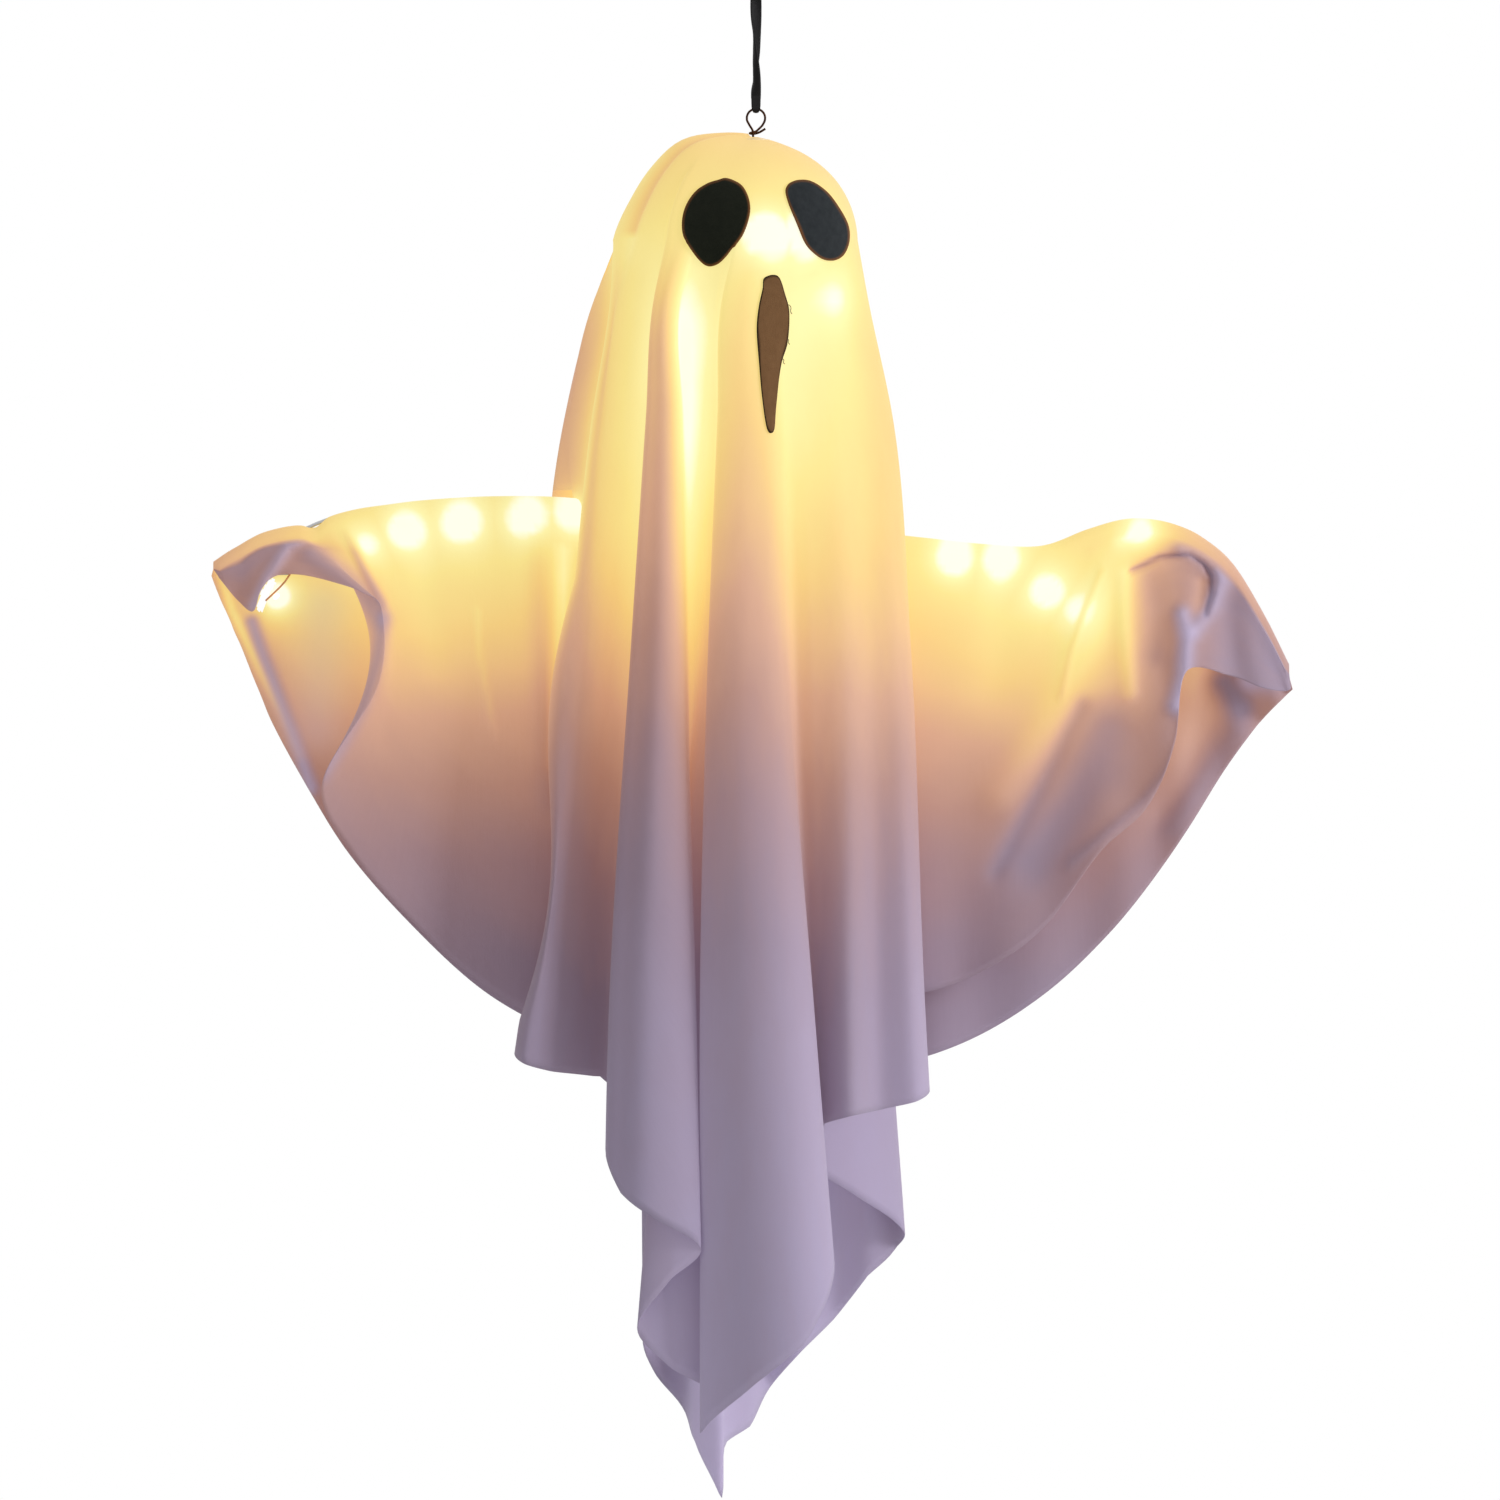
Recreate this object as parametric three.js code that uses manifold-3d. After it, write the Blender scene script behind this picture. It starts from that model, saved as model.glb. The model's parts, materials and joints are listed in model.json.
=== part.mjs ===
import * as THREE from "three";
import { mergeVertices } from "three/addons/utils/BufferGeometryUtils.js";
import Module from "manifold-3d";

// A cloth ghost that hangs on a ribbon, with a light string inside.
// Millimetres, +Z up, the face looks along -Y, +X is the viewer's right.
// The origin is the inside top of the hanging loop, where a hook carries it.

const wasm = await Module();
wasm.setup();

// Fit between pieces that touch
const SEAT = 0.3;

// Ribbon
const RIBBON_WIDTH = 6;
const RIBBON_THICK = 0.8;
const LOOP_HEIGHT = 19;
const LOOP_WIDTH = 10;
const KNOT_HEIGHT = 9;
const KNOT_RADIUS = 4.5;
const UPPER_RIBBON = 33;
const SWING_GAP = 0.6;
const EYE_DROP = 90;

// Wire eye and spine
const WIRE_RADIUS = 0.6;
const EYE_RADIUS = 4.75;
const NECK_DROP = 7;
const GATHERED_RIBBON = 3;
const SPINE_X = -1.5;

// Head
const BALL_RADIUS = 50;
const CROWN_DROP = 13.4;
const FACE_LEVEL = -149.8;
const PAD_RADIUS = 9;
const CRIMP_RADIUS = 3;
const CRIMP_HEIGHT = 5;

// Cloth: one square sheet, its centre on the crown, a corner front and back
const CLOTH_THICK = 1.2;
const CLOTH_HALF_SIDE = 500;
const CLOTH_BACK_SHIFT = 36;
const CLOTH_EASE = 3.6;
const CROWN_HOLE = 2.4;
const SHOULDER_REACH = 17;
const SLIT_DROP = 110;
const FOOT_DROP = 421;
const FOOT_DEPTH = 50;
const FOOT_LEFT = 130;
const FOOT_RIGHT = 96;

// Arms
const ARM_RADIUS = 1;
const BINDING_RADIUS = 8;
const BINDING_HEIGHT = 16;
const BINDING_Z = -299;
const CREST_RADIUS = 6.5;
const CREST_GAP = 0.8;

// Light string
const LIGHT_WIRE_RADIUS = 0.5;
const BEAD_RADIUS = 1.3;
const BEAD_LENGTH = 4;
const HEAD_TURNS = 2.6;
const SPINE_COIL_RADIUS = 12;

// Battery case
const CASE_WIDTH = 28;
const CASE_DEPTH = 12;
const CASE_HEIGHT = 42;
const CASE_WALL = 1.6;
const CASE_TOP_Z = -326;
const CELL_RADIUS = 10;
const CELL_THICK = 3.2;
const COVER_THICK = 1;
const COVER_LENGTH = 30;
const COVER_WIDTH = 24;
const LIP = 1.4;
const SLIDER_LENGTH = 5;
const SLIDER_TRAVEL = 3;
const SLIDER_HEIGHT = 4.5;

const ballCentre = new THREE.Vector3(SPINE_X, 0, -EYE_DROP - CROWN_DROP - BALL_RADIUS);
const knotTop = -LOOP_HEIGHT;
const knotBottom = knotTop - KNOT_HEIGHT;
const spineBottom = CASE_TOP_Z - CASE_HEIGHT;

const part = new THREE.Group();

const FINISH = {
  ribbon: { color: 0x0b0a0c, roughness: 0.4, metalness: 0 },
  wire: { color: 0x7a4a2c, roughness: 0.35, metalness: 0.9 },
  cloth: { color: 0xe9e4ef, roughness: 0.9, metalness: 0 },
  darkFelt: { color: 0x1d211f, roughness: 1, metalness: 0 },
  brownFelt: { color: 0x6b4a31, roughness: 1, metalness: 0 },
  foam: { color: 0xf4f3ee, roughness: 0.95, metalness: 0 },
  glue: { color: 0xe8dfc8, roughness: 0.4, metalness: 0 },
  steel: { color: 0x9a9ca0, roughness: 0.35, metalness: 1 },
  tape: { color: 0xd8d2c4, roughness: 0.8, metalness: 0 },
  lightWire: { color: 0xb87333, roughness: 0.3, metalness: 0.9 },
  lamp: { color: 0xfff0b4, roughness: 0.2, metalness: 0, emissive: 0xffd27a },
  plastic: { color: 0xf2f1ec, roughness: 0.55, metalness: 0 },
  darkPlastic: { color: 0x202124, roughness: 0.5, metalness: 0 },
};

function add(name, geometry, finish) {
  const mesh = new THREE.Mesh(facingOut(geometry), new THREE.MeshStandardMaterial(FINISH[finish]));
  mesh.name = name;
  part.add(mesh);
  return mesh;
}

// Solid helpers

function plainPositions(geometry) {
  const bare = geometry.clone();
  for (const key of Object.keys(bare.attributes)) {
    if (key !== "position") bare.deleteAttribute(key);
  }
  return mergeVertices(bare, 1e-5);
}

function signedVolume(geometry) {
  const at = geometry.attributes.position;
  const index = geometry.index.array;
  const [a, b, c] = [new THREE.Vector3(), new THREE.Vector3(), new THREE.Vector3()];
  let volume = 0;
  for (let i = 0; i < index.length; i += 3) {
    a.fromBufferAttribute(at, index[i]);
    b.fromBufferAttribute(at, index[i + 1]);
    c.fromBufferAttribute(at, index[i + 2]);
    volume += a.dot(b.cross(c)) / 6;
  }
  return volume;
}

function facingOut(geometry) {
  const solid = plainPositions(geometry);
  if (signedVolume(solid) < 0) {
    const index = solid.index.array;
    for (let i = 0; i < index.length; i += 3) {
      [index[i + 1], index[i + 2]] = [index[i + 2], index[i + 1]];
    }
  }
  solid.computeVertexNormals();
  return solid;
}

function toManifold(geometry) {
  const solid = facingOut(geometry);
  return new wasm.Manifold(
    new wasm.Mesh({
      numProp: 3,
      vertProperties: new Float32Array(solid.attributes.position.array),
      triVerts: new Uint32Array(solid.index.array),
    }),
  );
}

function fromManifold(manifold) {
  const mesh = manifold.getMesh();
  const geometry = new THREE.BufferGeometry();
  geometry.setAttribute("position", new THREE.BufferAttribute(mesh.vertProperties, 3));
  geometry.setIndex(new THREE.BufferAttribute(mesh.triVerts, 1));
  return geometry;
}

function cut(geometry, ...tools) {
  let solid = toManifold(geometry);
  for (const tool of tools) solid = solid.subtract(toManifold(tool));
  return fromManifold(solid);
}

function box(width, depth, height, x, y, z) {
  return new THREE.BoxGeometry(width, depth, height).translate(x, y, z);
}

function disc(radius, thick, x, y, z) {
  return new THREE.CylinderGeometry(radius, radius, thick, 32).translate(x, y, z);
}

function regularSection(radius, sides) {
  const section = new THREE.Shape();
  for (let k = 0; k < sides; k += 1) {
    const turn = (2 * Math.PI * (k + 0.5)) / sides;
    section[k ? "lineTo" : "moveTo"](radius * Math.cos(turn), radius * Math.sin(turn));
  }
  section.closePath();
  return section;
}

function tube(points, radius, sides, steps) {
  const path = new THREE.CatmullRomCurve3(points, false, "centripetal");
  return new THREE.ExtrudeGeometry(regularSection(radius, sides), { extrudePath: path, steps });
}

function lathe(profile, segments, x, y, z) {
  const points = profile.map(([r, h]) => new THREE.Vector2(r, h));
  return new THREE.LatheGeometry(points, segments).rotateX(Math.PI / 2).translate(x, y, z);
}

// A sheet of cloth as a thin closed shell on a grid of points.
// grid[i][j]: column i runs round or along the sheet, row j runs down it.
// open(i, j) says which cells are left out, as for a slit.

function sheetSolid(grid, thick, wraps, open = () => false) {
  const columns = grid.length;
  const rows = grid[0].length;
  const cellColumns = wraps ? columns : columns - 1;
  const wrapped = (i) => (wraps ? (i + columns) % columns : Math.min(Math.max(i, 0), columns - 1));
  const clamped = (j) => Math.min(Math.max(j, 0), rows - 1);
  const positions = [];
  for (const side of [0.5, -0.5]) {
    for (let i = 0; i < columns; i += 1) {
      for (let j = 0; j < rows; j += 1) {
        const along = grid[wrapped(i + 1)][j].clone().sub(grid[wrapped(i - 1)][j]);
        const down = grid[i][clamped(j + 1)].clone().sub(grid[i][clamped(j - 1)]);
        const normal = along.cross(down).normalize();
        positions.push(...grid[i][j].clone().addScaledVector(normal, side * thick).toArray());
      }
    }
  }
  const at = (side, i, j) => side * columns * rows + wrapped(i) * rows + j;
  const present = (i, j) => {
    if (j < 0 || j >= rows - 1) return false;
    if (!wraps && (i < 0 || i >= cellColumns)) return false;
    return !open(wrapped(i), j);
  };
  const index = [];
  const quad = (a, b, c, d) => index.push(a, b, c, a, c, d);
  for (let i = 0; i < cellColumns; i += 1) {
    for (let j = 0; j < rows - 1; j += 1) {
      if (!present(i, j)) continue;
      quad(at(0, i, j), at(0, i + 1, j), at(0, i + 1, j + 1), at(0, i, j + 1));
      quad(at(1, i, j), at(1, i, j + 1), at(1, i + 1, j + 1), at(1, i + 1, j));
      if (!present(i, j - 1)) quad(at(0, i, j), at(1, i, j), at(1, i + 1, j), at(0, i + 1, j));
      if (!present(i, j + 1)) {
        quad(at(0, i + 1, j + 1), at(1, i + 1, j + 1), at(1, i, j + 1), at(0, i, j + 1));
      }
      if (!present(i - 1, j)) quad(at(0, i, j + 1), at(1, i, j + 1), at(1, i, j), at(0, i, j));
      if (!present(i + 1, j)) {
        quad(at(0, i + 1, j), at(1, i + 1, j), at(1, i + 1, j + 1), at(0, i + 1, j + 1));
      }
    }
  }
  const geometry = new THREE.BufferGeometry();
  geometry.setAttribute("position", new THREE.Float32BufferAttribute(positions, 3));
  geometry.setIndex(index);
  return geometry;
}

// Ribbon: a loop for the hook, a knot, two lengths with a half turn, a bight round the eye

function ribbonBand(outline) {
  const depth = RIBBON_WIDTH;
  return new THREE.ExtrudeGeometry(outline, { depth, bevelEnabled: false, curveSegments: 10 });
}

function hangingLoop() {
  const half = LOOP_WIDTH / 2;
  const foot = knotTop + SEAT;
  const straight = -half;
  const outline = new THREE.Shape();
  const outer = half + RIBBON_THICK;
  outline.moveTo(-RIBBON_THICK, foot);
  outline.lineTo(-outer, straight);
  outline.absarc(0, straight, outer, Math.PI, 0, true);
  outline.lineTo(RIBBON_THICK, foot);
  outline.closePath();
  const opening = new THREE.Path();
  opening.moveTo(0, foot + 2 * RIBBON_THICK);
  opening.lineTo(half, straight);
  opening.absarc(0, straight, half, 0, Math.PI, false);
  opening.closePath();
  outline.holes.push(opening);
  return ribbonBand(outline)
    .translate(0, 0, -RIBBON_WIDTH / 2)
    .rotateX(Math.PI / 2);
}

function ribbonKnot() {
  const waist = KNOT_RADIUS * 0.55;
  const half = KNOT_HEIGHT / 2;
  const profile = [
    [0, -half],
    [waist, -half],
    [KNOT_RADIUS, -half / 2],
    [KNOT_RADIUS * 0.85, 0],
    [KNOT_RADIUS, half / 2],
    [waist, half],
    [0, half],
  ];
  return lathe(profile, 14, 0, 0, (knotTop + knotBottom) / 2);
}

function twistedRibbon(top, bottom, startTurn, endTurn) {
  const steps = 8;
  const stack = [];
  const corners = [
    [-1, -1],
    [1, -1],
    [1, 1],
    [-1, 1],
  ];
  for (let k = 0; k <= steps; k += 1) {
    const share = k / steps;
    const turn = THREE.MathUtils.lerp(startTurn, endTurn, share);
    const z = THREE.MathUtils.lerp(top, bottom, share);
    for (const [u, v] of corners) {
      const x = (u * RIBBON_WIDTH) / 2;
      const y = v * RIBBON_THICK;
      stack.push(x * Math.cos(turn) - y * Math.sin(turn), x * Math.sin(turn) + y * Math.cos(turn), z);
    }
  }
  const index = [0, 1, 2, 0, 2, 3];
  for (let k = 0; k < steps; k += 1) {
    for (let c = 0; c < 4; c += 1) {
      const [a, b] = [4 * k + c, 4 * k + ((c + 1) % 4)];
      index.push(a, a + 4, b + 4, a, b + 4, b);
    }
  }
  const last = 4 * steps;
  index.push(last, last + 2, last + 1, last, last + 3, last + 2);
  const geometry = new THREE.BufferGeometry();
  geometry.setAttribute("position", new THREE.Float32BufferAttribute(stack, 3));
  geometry.setIndex(index);
  return geometry;
}

const ringTop = -EYE_DROP + EYE_RADIUS;
const ringSag = EYE_RADIUS - Math.sqrt(EYE_RADIUS ** 2 - (GATHERED_RIBBON / 2) ** 2);
const bightInner = WIRE_RADIUS + SEAT + ringSag;
const bightOuter = bightInner + RIBBON_THICK;
const bightTop = ringTop + 3 * bightOuter;
const twistLevel = knotBottom - UPPER_RIBBON;

function ribbonBight() {
  const outline = new THREE.Shape();
  outline.moveTo(-bightOuter, ringTop);
  outline.absarc(0, ringTop, bightOuter, Math.PI, 2 * Math.PI, false);
  outline.lineTo(RIBBON_THICK, bightTop);
  outline.lineTo(-RIBBON_THICK, bightTop);
  outline.closePath();
  const opening = new THREE.Path();
  opening.absarc(0, ringTop, bightInner, Math.PI, 2 * Math.PI, false);
  opening.lineTo(0, ringTop + 2 * bightInner);
  opening.closePath();
  outline.holes.push(opening);
  const options = { depth: GATHERED_RIBBON, bevelEnabled: false, curveSegments: 10 };
  return new THREE.ExtrudeGeometry(outline, options)
    .translate(0, 0, -GATHERED_RIBBON / 2)
    .rotateX(Math.PI / 2)
    .rotateZ(Math.PI / 2);
}

// Hanger wire: cut tail, wrap, eye, shank and spine in one length of wire

function hangerWire() {
  const at = (x, y, drop) => new THREE.Vector3(x, y, -EYE_DROP - drop);
  const wrap = 2 * WIRE_RADIUS + 2 * SEAT;
  const points = [
    at(SPINE_X + 6.4, 1.2, NECK_DROP - 1.6),
    at(SPINE_X + 3, wrap, NECK_DROP + 0.2),
    at(SPINE_X, wrap, NECK_DROP + 0.6),
    at(SPINE_X - wrap, 0, NECK_DROP),
    at(SPINE_X, -wrap, NECK_DROP - 0.9),
    at(SPINE_X + wrap + 0.4, -0.4, NECK_DROP - 2),
  ];
  const arc = 10;
  for (let k = 0; k <= arc; k += 1) {
    const turn = THREE.MathUtils.degToRad(-52 + (k * 278) / arc);
    points.push(at(EYE_RADIUS * Math.cos(turn), 0, -EYE_RADIUS * Math.sin(turn)));
  }
  points.push(at(SPINE_X - 0.2, 0, NECK_DROP - 1.6));
  points.push(at(SPINE_X, 0, NECK_DROP + 3));
  const bent = new THREE.CatmullRomCurve3(points, false, "centripetal").getPoints(46);
  return sweptTube([...bent, new THREE.Vector3(SPINE_X, 0, spineBottom)], WIRE_RADIUS, 8);
}

// A tube whose rings stand exactly on the listed points

function sweptTube(points, radius, sides) {
  const count = points.length;
  const tangents = points.map((p, k) => {
    const before = points[Math.max(k - 1, 0)];
    const after = points[Math.min(k + 1, count - 1)];
    return after.clone().sub(before).normalize();
  });
  const seed = Math.abs(tangents[0].y) < 0.8 ? new THREE.Vector3(0, 1, 0) : new THREE.Vector3(1, 0, 0);
  let normal = seed.sub(tangents[0].clone().multiplyScalar(seed.dot(tangents[0]))).normalize();
  const positions = [];
  points.forEach((p, k) => {
    normal = normal.clone().addScaledVector(tangents[k], -normal.dot(tangents[k])).normalize();
    const side = tangents[k].clone().cross(normal);
    for (let s = 0; s < sides; s += 1) {
      const turn = (2 * Math.PI * s) / sides;
      const rim = p.clone().addScaledVector(normal, radius * Math.cos(turn));
      positions.push(...rim.addScaledVector(side, radius * Math.sin(turn)).toArray());
    }
  });
  const index = [];
  for (let k = 0; k < count - 1; k += 1) {
    for (let s = 0; s < sides; s += 1) {
      const [a, b] = [k * sides + s, k * sides + ((s + 1) % sides)];
      index.push(a, b, b + sides, a, b + sides, a + sides);
    }
  }
  for (let s = 1; s < sides - 1; s += 1) {
    index.push(0, s + 1, s);
    const last = (count - 1) * sides;
    index.push(last, last + s, last + s + 1);
  }
  const geometry = new THREE.BufferGeometry();
  geometry.setAttribute("position", new THREE.Float32BufferAttribute(positions, 3));
  geometry.setIndex(index);
  return geometry;
}

// Head

const boreRadius = WIRE_RADIUS + SEAT;

function headBall() {
  const profile = [];
  const tip = Math.asin(boreRadius / BALL_RADIUS);
  const steps = 12;
  for (let k = 0; k <= steps; k += 1) {
    const polar = THREE.MathUtils.lerp(tip, Math.PI - tip, k / steps);
    profile.push([BALL_RADIUS * Math.sin(polar), BALL_RADIUS * Math.cos(polar)]);
  }
  profile.push(profile[0]);
  return lathe(profile, 24, ballCentre.x, ballCentre.y, ballCentre.z);
}

const clothRadius = BALL_RADIUS + CLOTH_EASE + CLOTH_THICK / 2;

function crownPad() {
  const under = BALL_RADIUS + SEAT;
  const over = clothRadius - CLOTH_THICK / 2 - 2 * SEAT;
  const rise = (radius, r) => Math.sqrt(radius * radius - r * r);
  const middle = PAD_RADIUS / 2;
  const profile = [
    [boreRadius, rise(under, boreRadius)],
    [middle, rise(under, middle)],
    [PAD_RADIUS, rise(under, PAD_RADIUS)],
    [PAD_RADIUS, rise(over, PAD_RADIUS)],
    [middle, rise(over, middle)],
    [boreRadius, rise(over, boreRadius)],
    [boreRadius, rise(under, boreRadius)],
  ];
  return lathe(profile, 20, ballCentre.x, ballCentre.y, ballCentre.z);
}

function collar(outer, height, topZ, segments) {
  const profile = [
    [boreRadius, 0],
    [outer, 0],
    [outer, -height],
    [boreRadius, -height],
    [boreRadius, 0],
  ];
  return lathe(profile, segments, SPINE_X, 0, topZ);
}

// Shroud. A fold line leaves the crown at a bearing (0 in front, + to the viewer's right),
// runs over the head and hangs straight to its foot. foot is its x at the foot level,
// swell how far it stands off the body's oval there, turn its angle on the flat square
// cloth from the nearest corner, which gives its length down to the hem.

const FRONT_FOLDS = [
  { name: "left slit", bearing: -88, foot: -114, swell: -6, turn: 38 },
  { name: "left edge", bearing: -82, foot: -124, swell: 11, turn: 31 },
  { name: "left panel", bearing: -75, foot: -106, swell: 5, turn: 31 },
  { name: "left panel valley", bearing: -69, foot: -88, swell: -6, turn: 27 },
  { name: "behind pleat A", bearing: -62, foot: -68, swell: -12, turn: 26 },
  { name: "pleat A left", bearing: -57, foot: -76.5, swell: 4, turn: 17 },
  { name: "pleat A crest", bearing: -52, foot: -54, swell: 17, turn: 13 },
  { name: "pleat A right", bearing: -44, foot: -31, swell: 7, turn: 9 },
  { name: "between the pleats", bearing: -29, foot: -54, swell: -12, turn: 5 },
  { name: "pleat B left", bearing: -14, foot: -29, swell: 12, turn: 0 },
  { name: "pleat B crest", bearing: -8, foot: 0, swell: 24, turn: 3 },
  { name: "pleat B right", bearing: -2, foot: 29, swell: 12, turn: 8 },
  { name: "behind pleat B", bearing: 4, foot: 22, swell: -8, turn: 17 },
  { name: "right panel", bearing: 18, foot: 42, swell: 0, turn: 22 },
  { name: "right valley", bearing: 36, foot: 61, swell: -5, turn: 23 },
  { name: "right ridge", bearing: 56, foot: 80, swell: 3, turn: 24 },
  { name: "right edge", bearing: 77, foot: 90, swell: 4, turn: 25 },
  { name: "right slit", bearing: 88, foot: 84, swell: -6, turn: 30 },
];
const BACK_FOLDS = [
  { name: "right slit", bearing: 104, foot: 78, swell: -10, turn: 26 },
  { name: "right back ridge", bearing: 116, foot: 74, swell: 6, turn: 14 },
  { name: "right back edge", bearing: 128, foot: 76, swell: 14, turn: 10 },
  { name: "right back valley", bearing: 142, foot: 44, swell: -8, turn: 9 },
  { name: "back pleat right", bearing: 156, foot: 36, swell: 10, turn: 7 },
  { name: "back valley", bearing: 168, foot: 14, swell: -6, turn: 6 },
  { name: "back pleat", bearing: 181, foot: 4, swell: 16, turn: 4 },
  { name: "back corner", bearing: 192, foot: -17, swell: 12, turn: 0 },
  { name: "back pleat left", bearing: 204, foot: -36, swell: 4, turn: 4 },
  { name: "left back edge", bearing: 216, foot: -61, swell: 12, turn: 5 },
  { name: "left back valley", bearing: 230, foot: -64, swell: -8, turn: 18 },
  { name: "left back ridge", bearing: 244, foot: -92, swell: 6, turn: 30 },
  { name: "left slit", bearing: 256, foot: -108, swell: -4, turn: 38 },
];

function blended(folds, place) {
  const k = Math.min(Math.floor(place), folds.length - 2);
  const t = place - k;
  const pick = (n) => folds[Math.min(Math.max(n, 0), folds.length - 1)];
  const mixed = {};
  for (const key of ["bearing", "foot", "swell", "turn"]) {
    const [a, b, c, d] = [pick(k - 1)[key], pick(k)[key], pick(k + 1)[key], pick(k + 2)[key]];
    const cubic = 2 * b + (c - a) * t + (2 * a - 5 * b + 4 * c - d) * t * t;
    mixed[key] = (cubic + (3 * b - a - 3 * c + d) * t * t * t) / 2;
  }
  return mixed;
}

function foldLines() {
  const lines = [];
  const frontSteps = 2 * (FRONT_FOLDS.length - 1);
  for (let k = 0; k <= frontSteps; k += 1) {
    lines.push({ ...blended(FRONT_FOLDS, k / 2), facing: -1 });
  }
  const frontCount = lines.length;
  for (const fold of BACK_FOLDS) lines.push({ ...fold, facing: 1 });
  return { lines, frontCount };
}

const DOME_ANGLES = [9, 24, 42, 58, 74, 90];
const headLevel = ballCentre.z;
const domeLength = (Math.PI / 2) * clothRadius;

function foldPoint(line, drop) {
  const bearing = THREE.MathUtils.degToRad(line.bearing);
  const leftness = Math.max(0, -Math.sin(bearing));
  const reach = clothRadius + SHOULDER_REACH * leftness ** 4;
  const headX = ballCentre.x + reach * Math.sin(bearing);
  const headY = -reach * Math.cos(bearing);
  const side = Math.abs(Math.sin(bearing)) ** 6;
  const even = drop / FOOT_DROP;
  const early = 1 - (1 - Math.min(even, 1)) ** 2.4 + Math.max(even - 1, 0) * 0.3;
  const spread = THREE.MathUtils.lerp(even, early, side);
  const halfWidth = line.foot < 0 ? FOOT_LEFT : FOOT_RIGHT;
  const oval = FOOT_DEPTH * Math.sqrt(Math.max(0, 1 - (line.foot / halfWidth) ** 2));
  const footY = line.facing * (oval + line.swell);
  return new THREE.Vector3(
    THREE.MathUtils.lerp(headX, line.foot, spread),
    THREE.MathUtils.lerp(headY, footY, spread),
    headLevel - drop,
  );
}

function domePoint(line, angle) {
  const rim = foldPoint(line, 0);
  const out = Math.sin(angle);
  return new THREE.Vector3(
    ballCentre.x + (rim.x - ballCentre.x) * out,
    rim.y * out,
    headLevel + clothRadius * Math.cos(angle),
  );
}

function hemDrop(line) {
  const turn = THREE.MathUtils.degToRad(Math.abs(line.turn));
  const shift = line.facing > 0 ? CLOTH_BACK_SHIFT * Math.cos(2 * turn) ** 8 : 0;
  return CLOTH_HALF_SIDE / Math.cos(Math.PI / 4 - turn) + shift - domeLength;
}

const SHOULDER_ROWS = 2;
const HEM_ROWS = 4;
const SLIT_ROW = DOME_ANGLES.length + SHOULDER_ROWS;

function foldColumn(line) {
  const column = [domePoint(line, Math.asin(CROWN_HOLE / clothRadius))];
  for (const angle of DOME_ANGLES) column.push(domePoint(line, THREE.MathUtils.degToRad(angle)));
  for (let k = 1; k <= SHOULDER_ROWS; k += 1) {
    column.push(foldPoint(line, (SLIT_DROP * k) / SHOULDER_ROWS));
  }
  const hem = hemDrop(line);
  for (let k = 1; k <= HEM_ROWS; k += 1) {
    column.push(foldPoint(line, THREE.MathUtils.lerp(SLIT_DROP, hem, k / HEM_ROWS)));
  }
  return column;
}

function shroud() {
  const { lines, frontCount } = foldLines();
  const grid = lines.map(foldColumn);
  const slits = [frontCount - 1, lines.length - 1];
  return sheetSolid(grid, CLOTH_THICK, true, (i, j) => slits.includes(i) && j >= SLIT_ROW);
}

// Arms: bent wire, the cloth lies over its crest

const at = (x, z) => new THREE.Vector3(x, 0, z);
const armStart = BINDING_RADIUS + SEAT;
const crestRise = ARM_RADIUS + CREST_GAP + CLOTH_THICK / 2;

const LEFT_ARM = [
  at(SPINE_X - armStart, -298.2),
  at(-60, -292.5),
  at(-105, -289.5),
  at(-156, -289.8),
  at(-190, -293.4),
  at(-217, -297),
  at(-236, -304.4),
  at(-246, -310.6),
];
const RIGHT_ARM = [
  at(SPINE_X + armStart, -299.8),
  at(45, -306),
  at(79, -310),
  at(118, -314),
  at(148, -315),
  at(172, -306.5),
  at(195, -300.5),
  at(214, -302.5),
  at(230, -309.5),
];
const LEFT_HAND = [at(-254, -318), at(-252, -326), at(-244, -327), at(-240, -321)];
const RIGHT_HAND = [at(240, -320), at(241, -331), at(233, -335), at(227, -329)];

function armWire(arm, hand) {
  return tube([...arm, ...hand], ARM_RADIUS, 8, 40);
}

// Wing cloth. Each station pairs a place on the crest over the arm with its front hem
// and its back hem; bow draws the front cloth between them towards the body.
// Values are x and z, then the y of the hem.

const LEFT_WING = [
  { crest: [-72, null], front: [-70, -573, -7], back: [-70, -576, 7], bow: 0 },
  { crest: [-105, null], front: [-106, -561, -7], back: [-106, -564, 7], bow: 0 },
  { crest: [-140, null], front: [-143, -540, -9], back: [-143, -543, 9], bow: 2 },
  { crest: [-172, null], front: [-180, -506, -14], back: [-180, -509, 11], bow: 8 },
  { crest: [-192, null], front: [-208, -474, -21], back: [-213, -471, 10], bow: 14 },
  { crest: [-208, null], front: [-225, -437, -28], back: [-238, -430, 9], bow: 24 },
  { crest: [-222, null], front: [-196, -386, -33], back: [-252, -405, 9], bow: 5 },
  { crest: [-234, null], front: [-194, -344, -32], back: [-262, -384, 9], bow: 0 },
  { crest: [-246, -306], front: [-222, -324, -22], back: [-270, -362, 9], bow: 0 },
  { crest: [-264, -313], front: [-261, -347, -15], back: [-277, -345, 7], bow: 0 },
  { crest: [-281, -323], front: [-281, -335, -6], back: [-283, -335, 3], bow: 0 },
];
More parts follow.
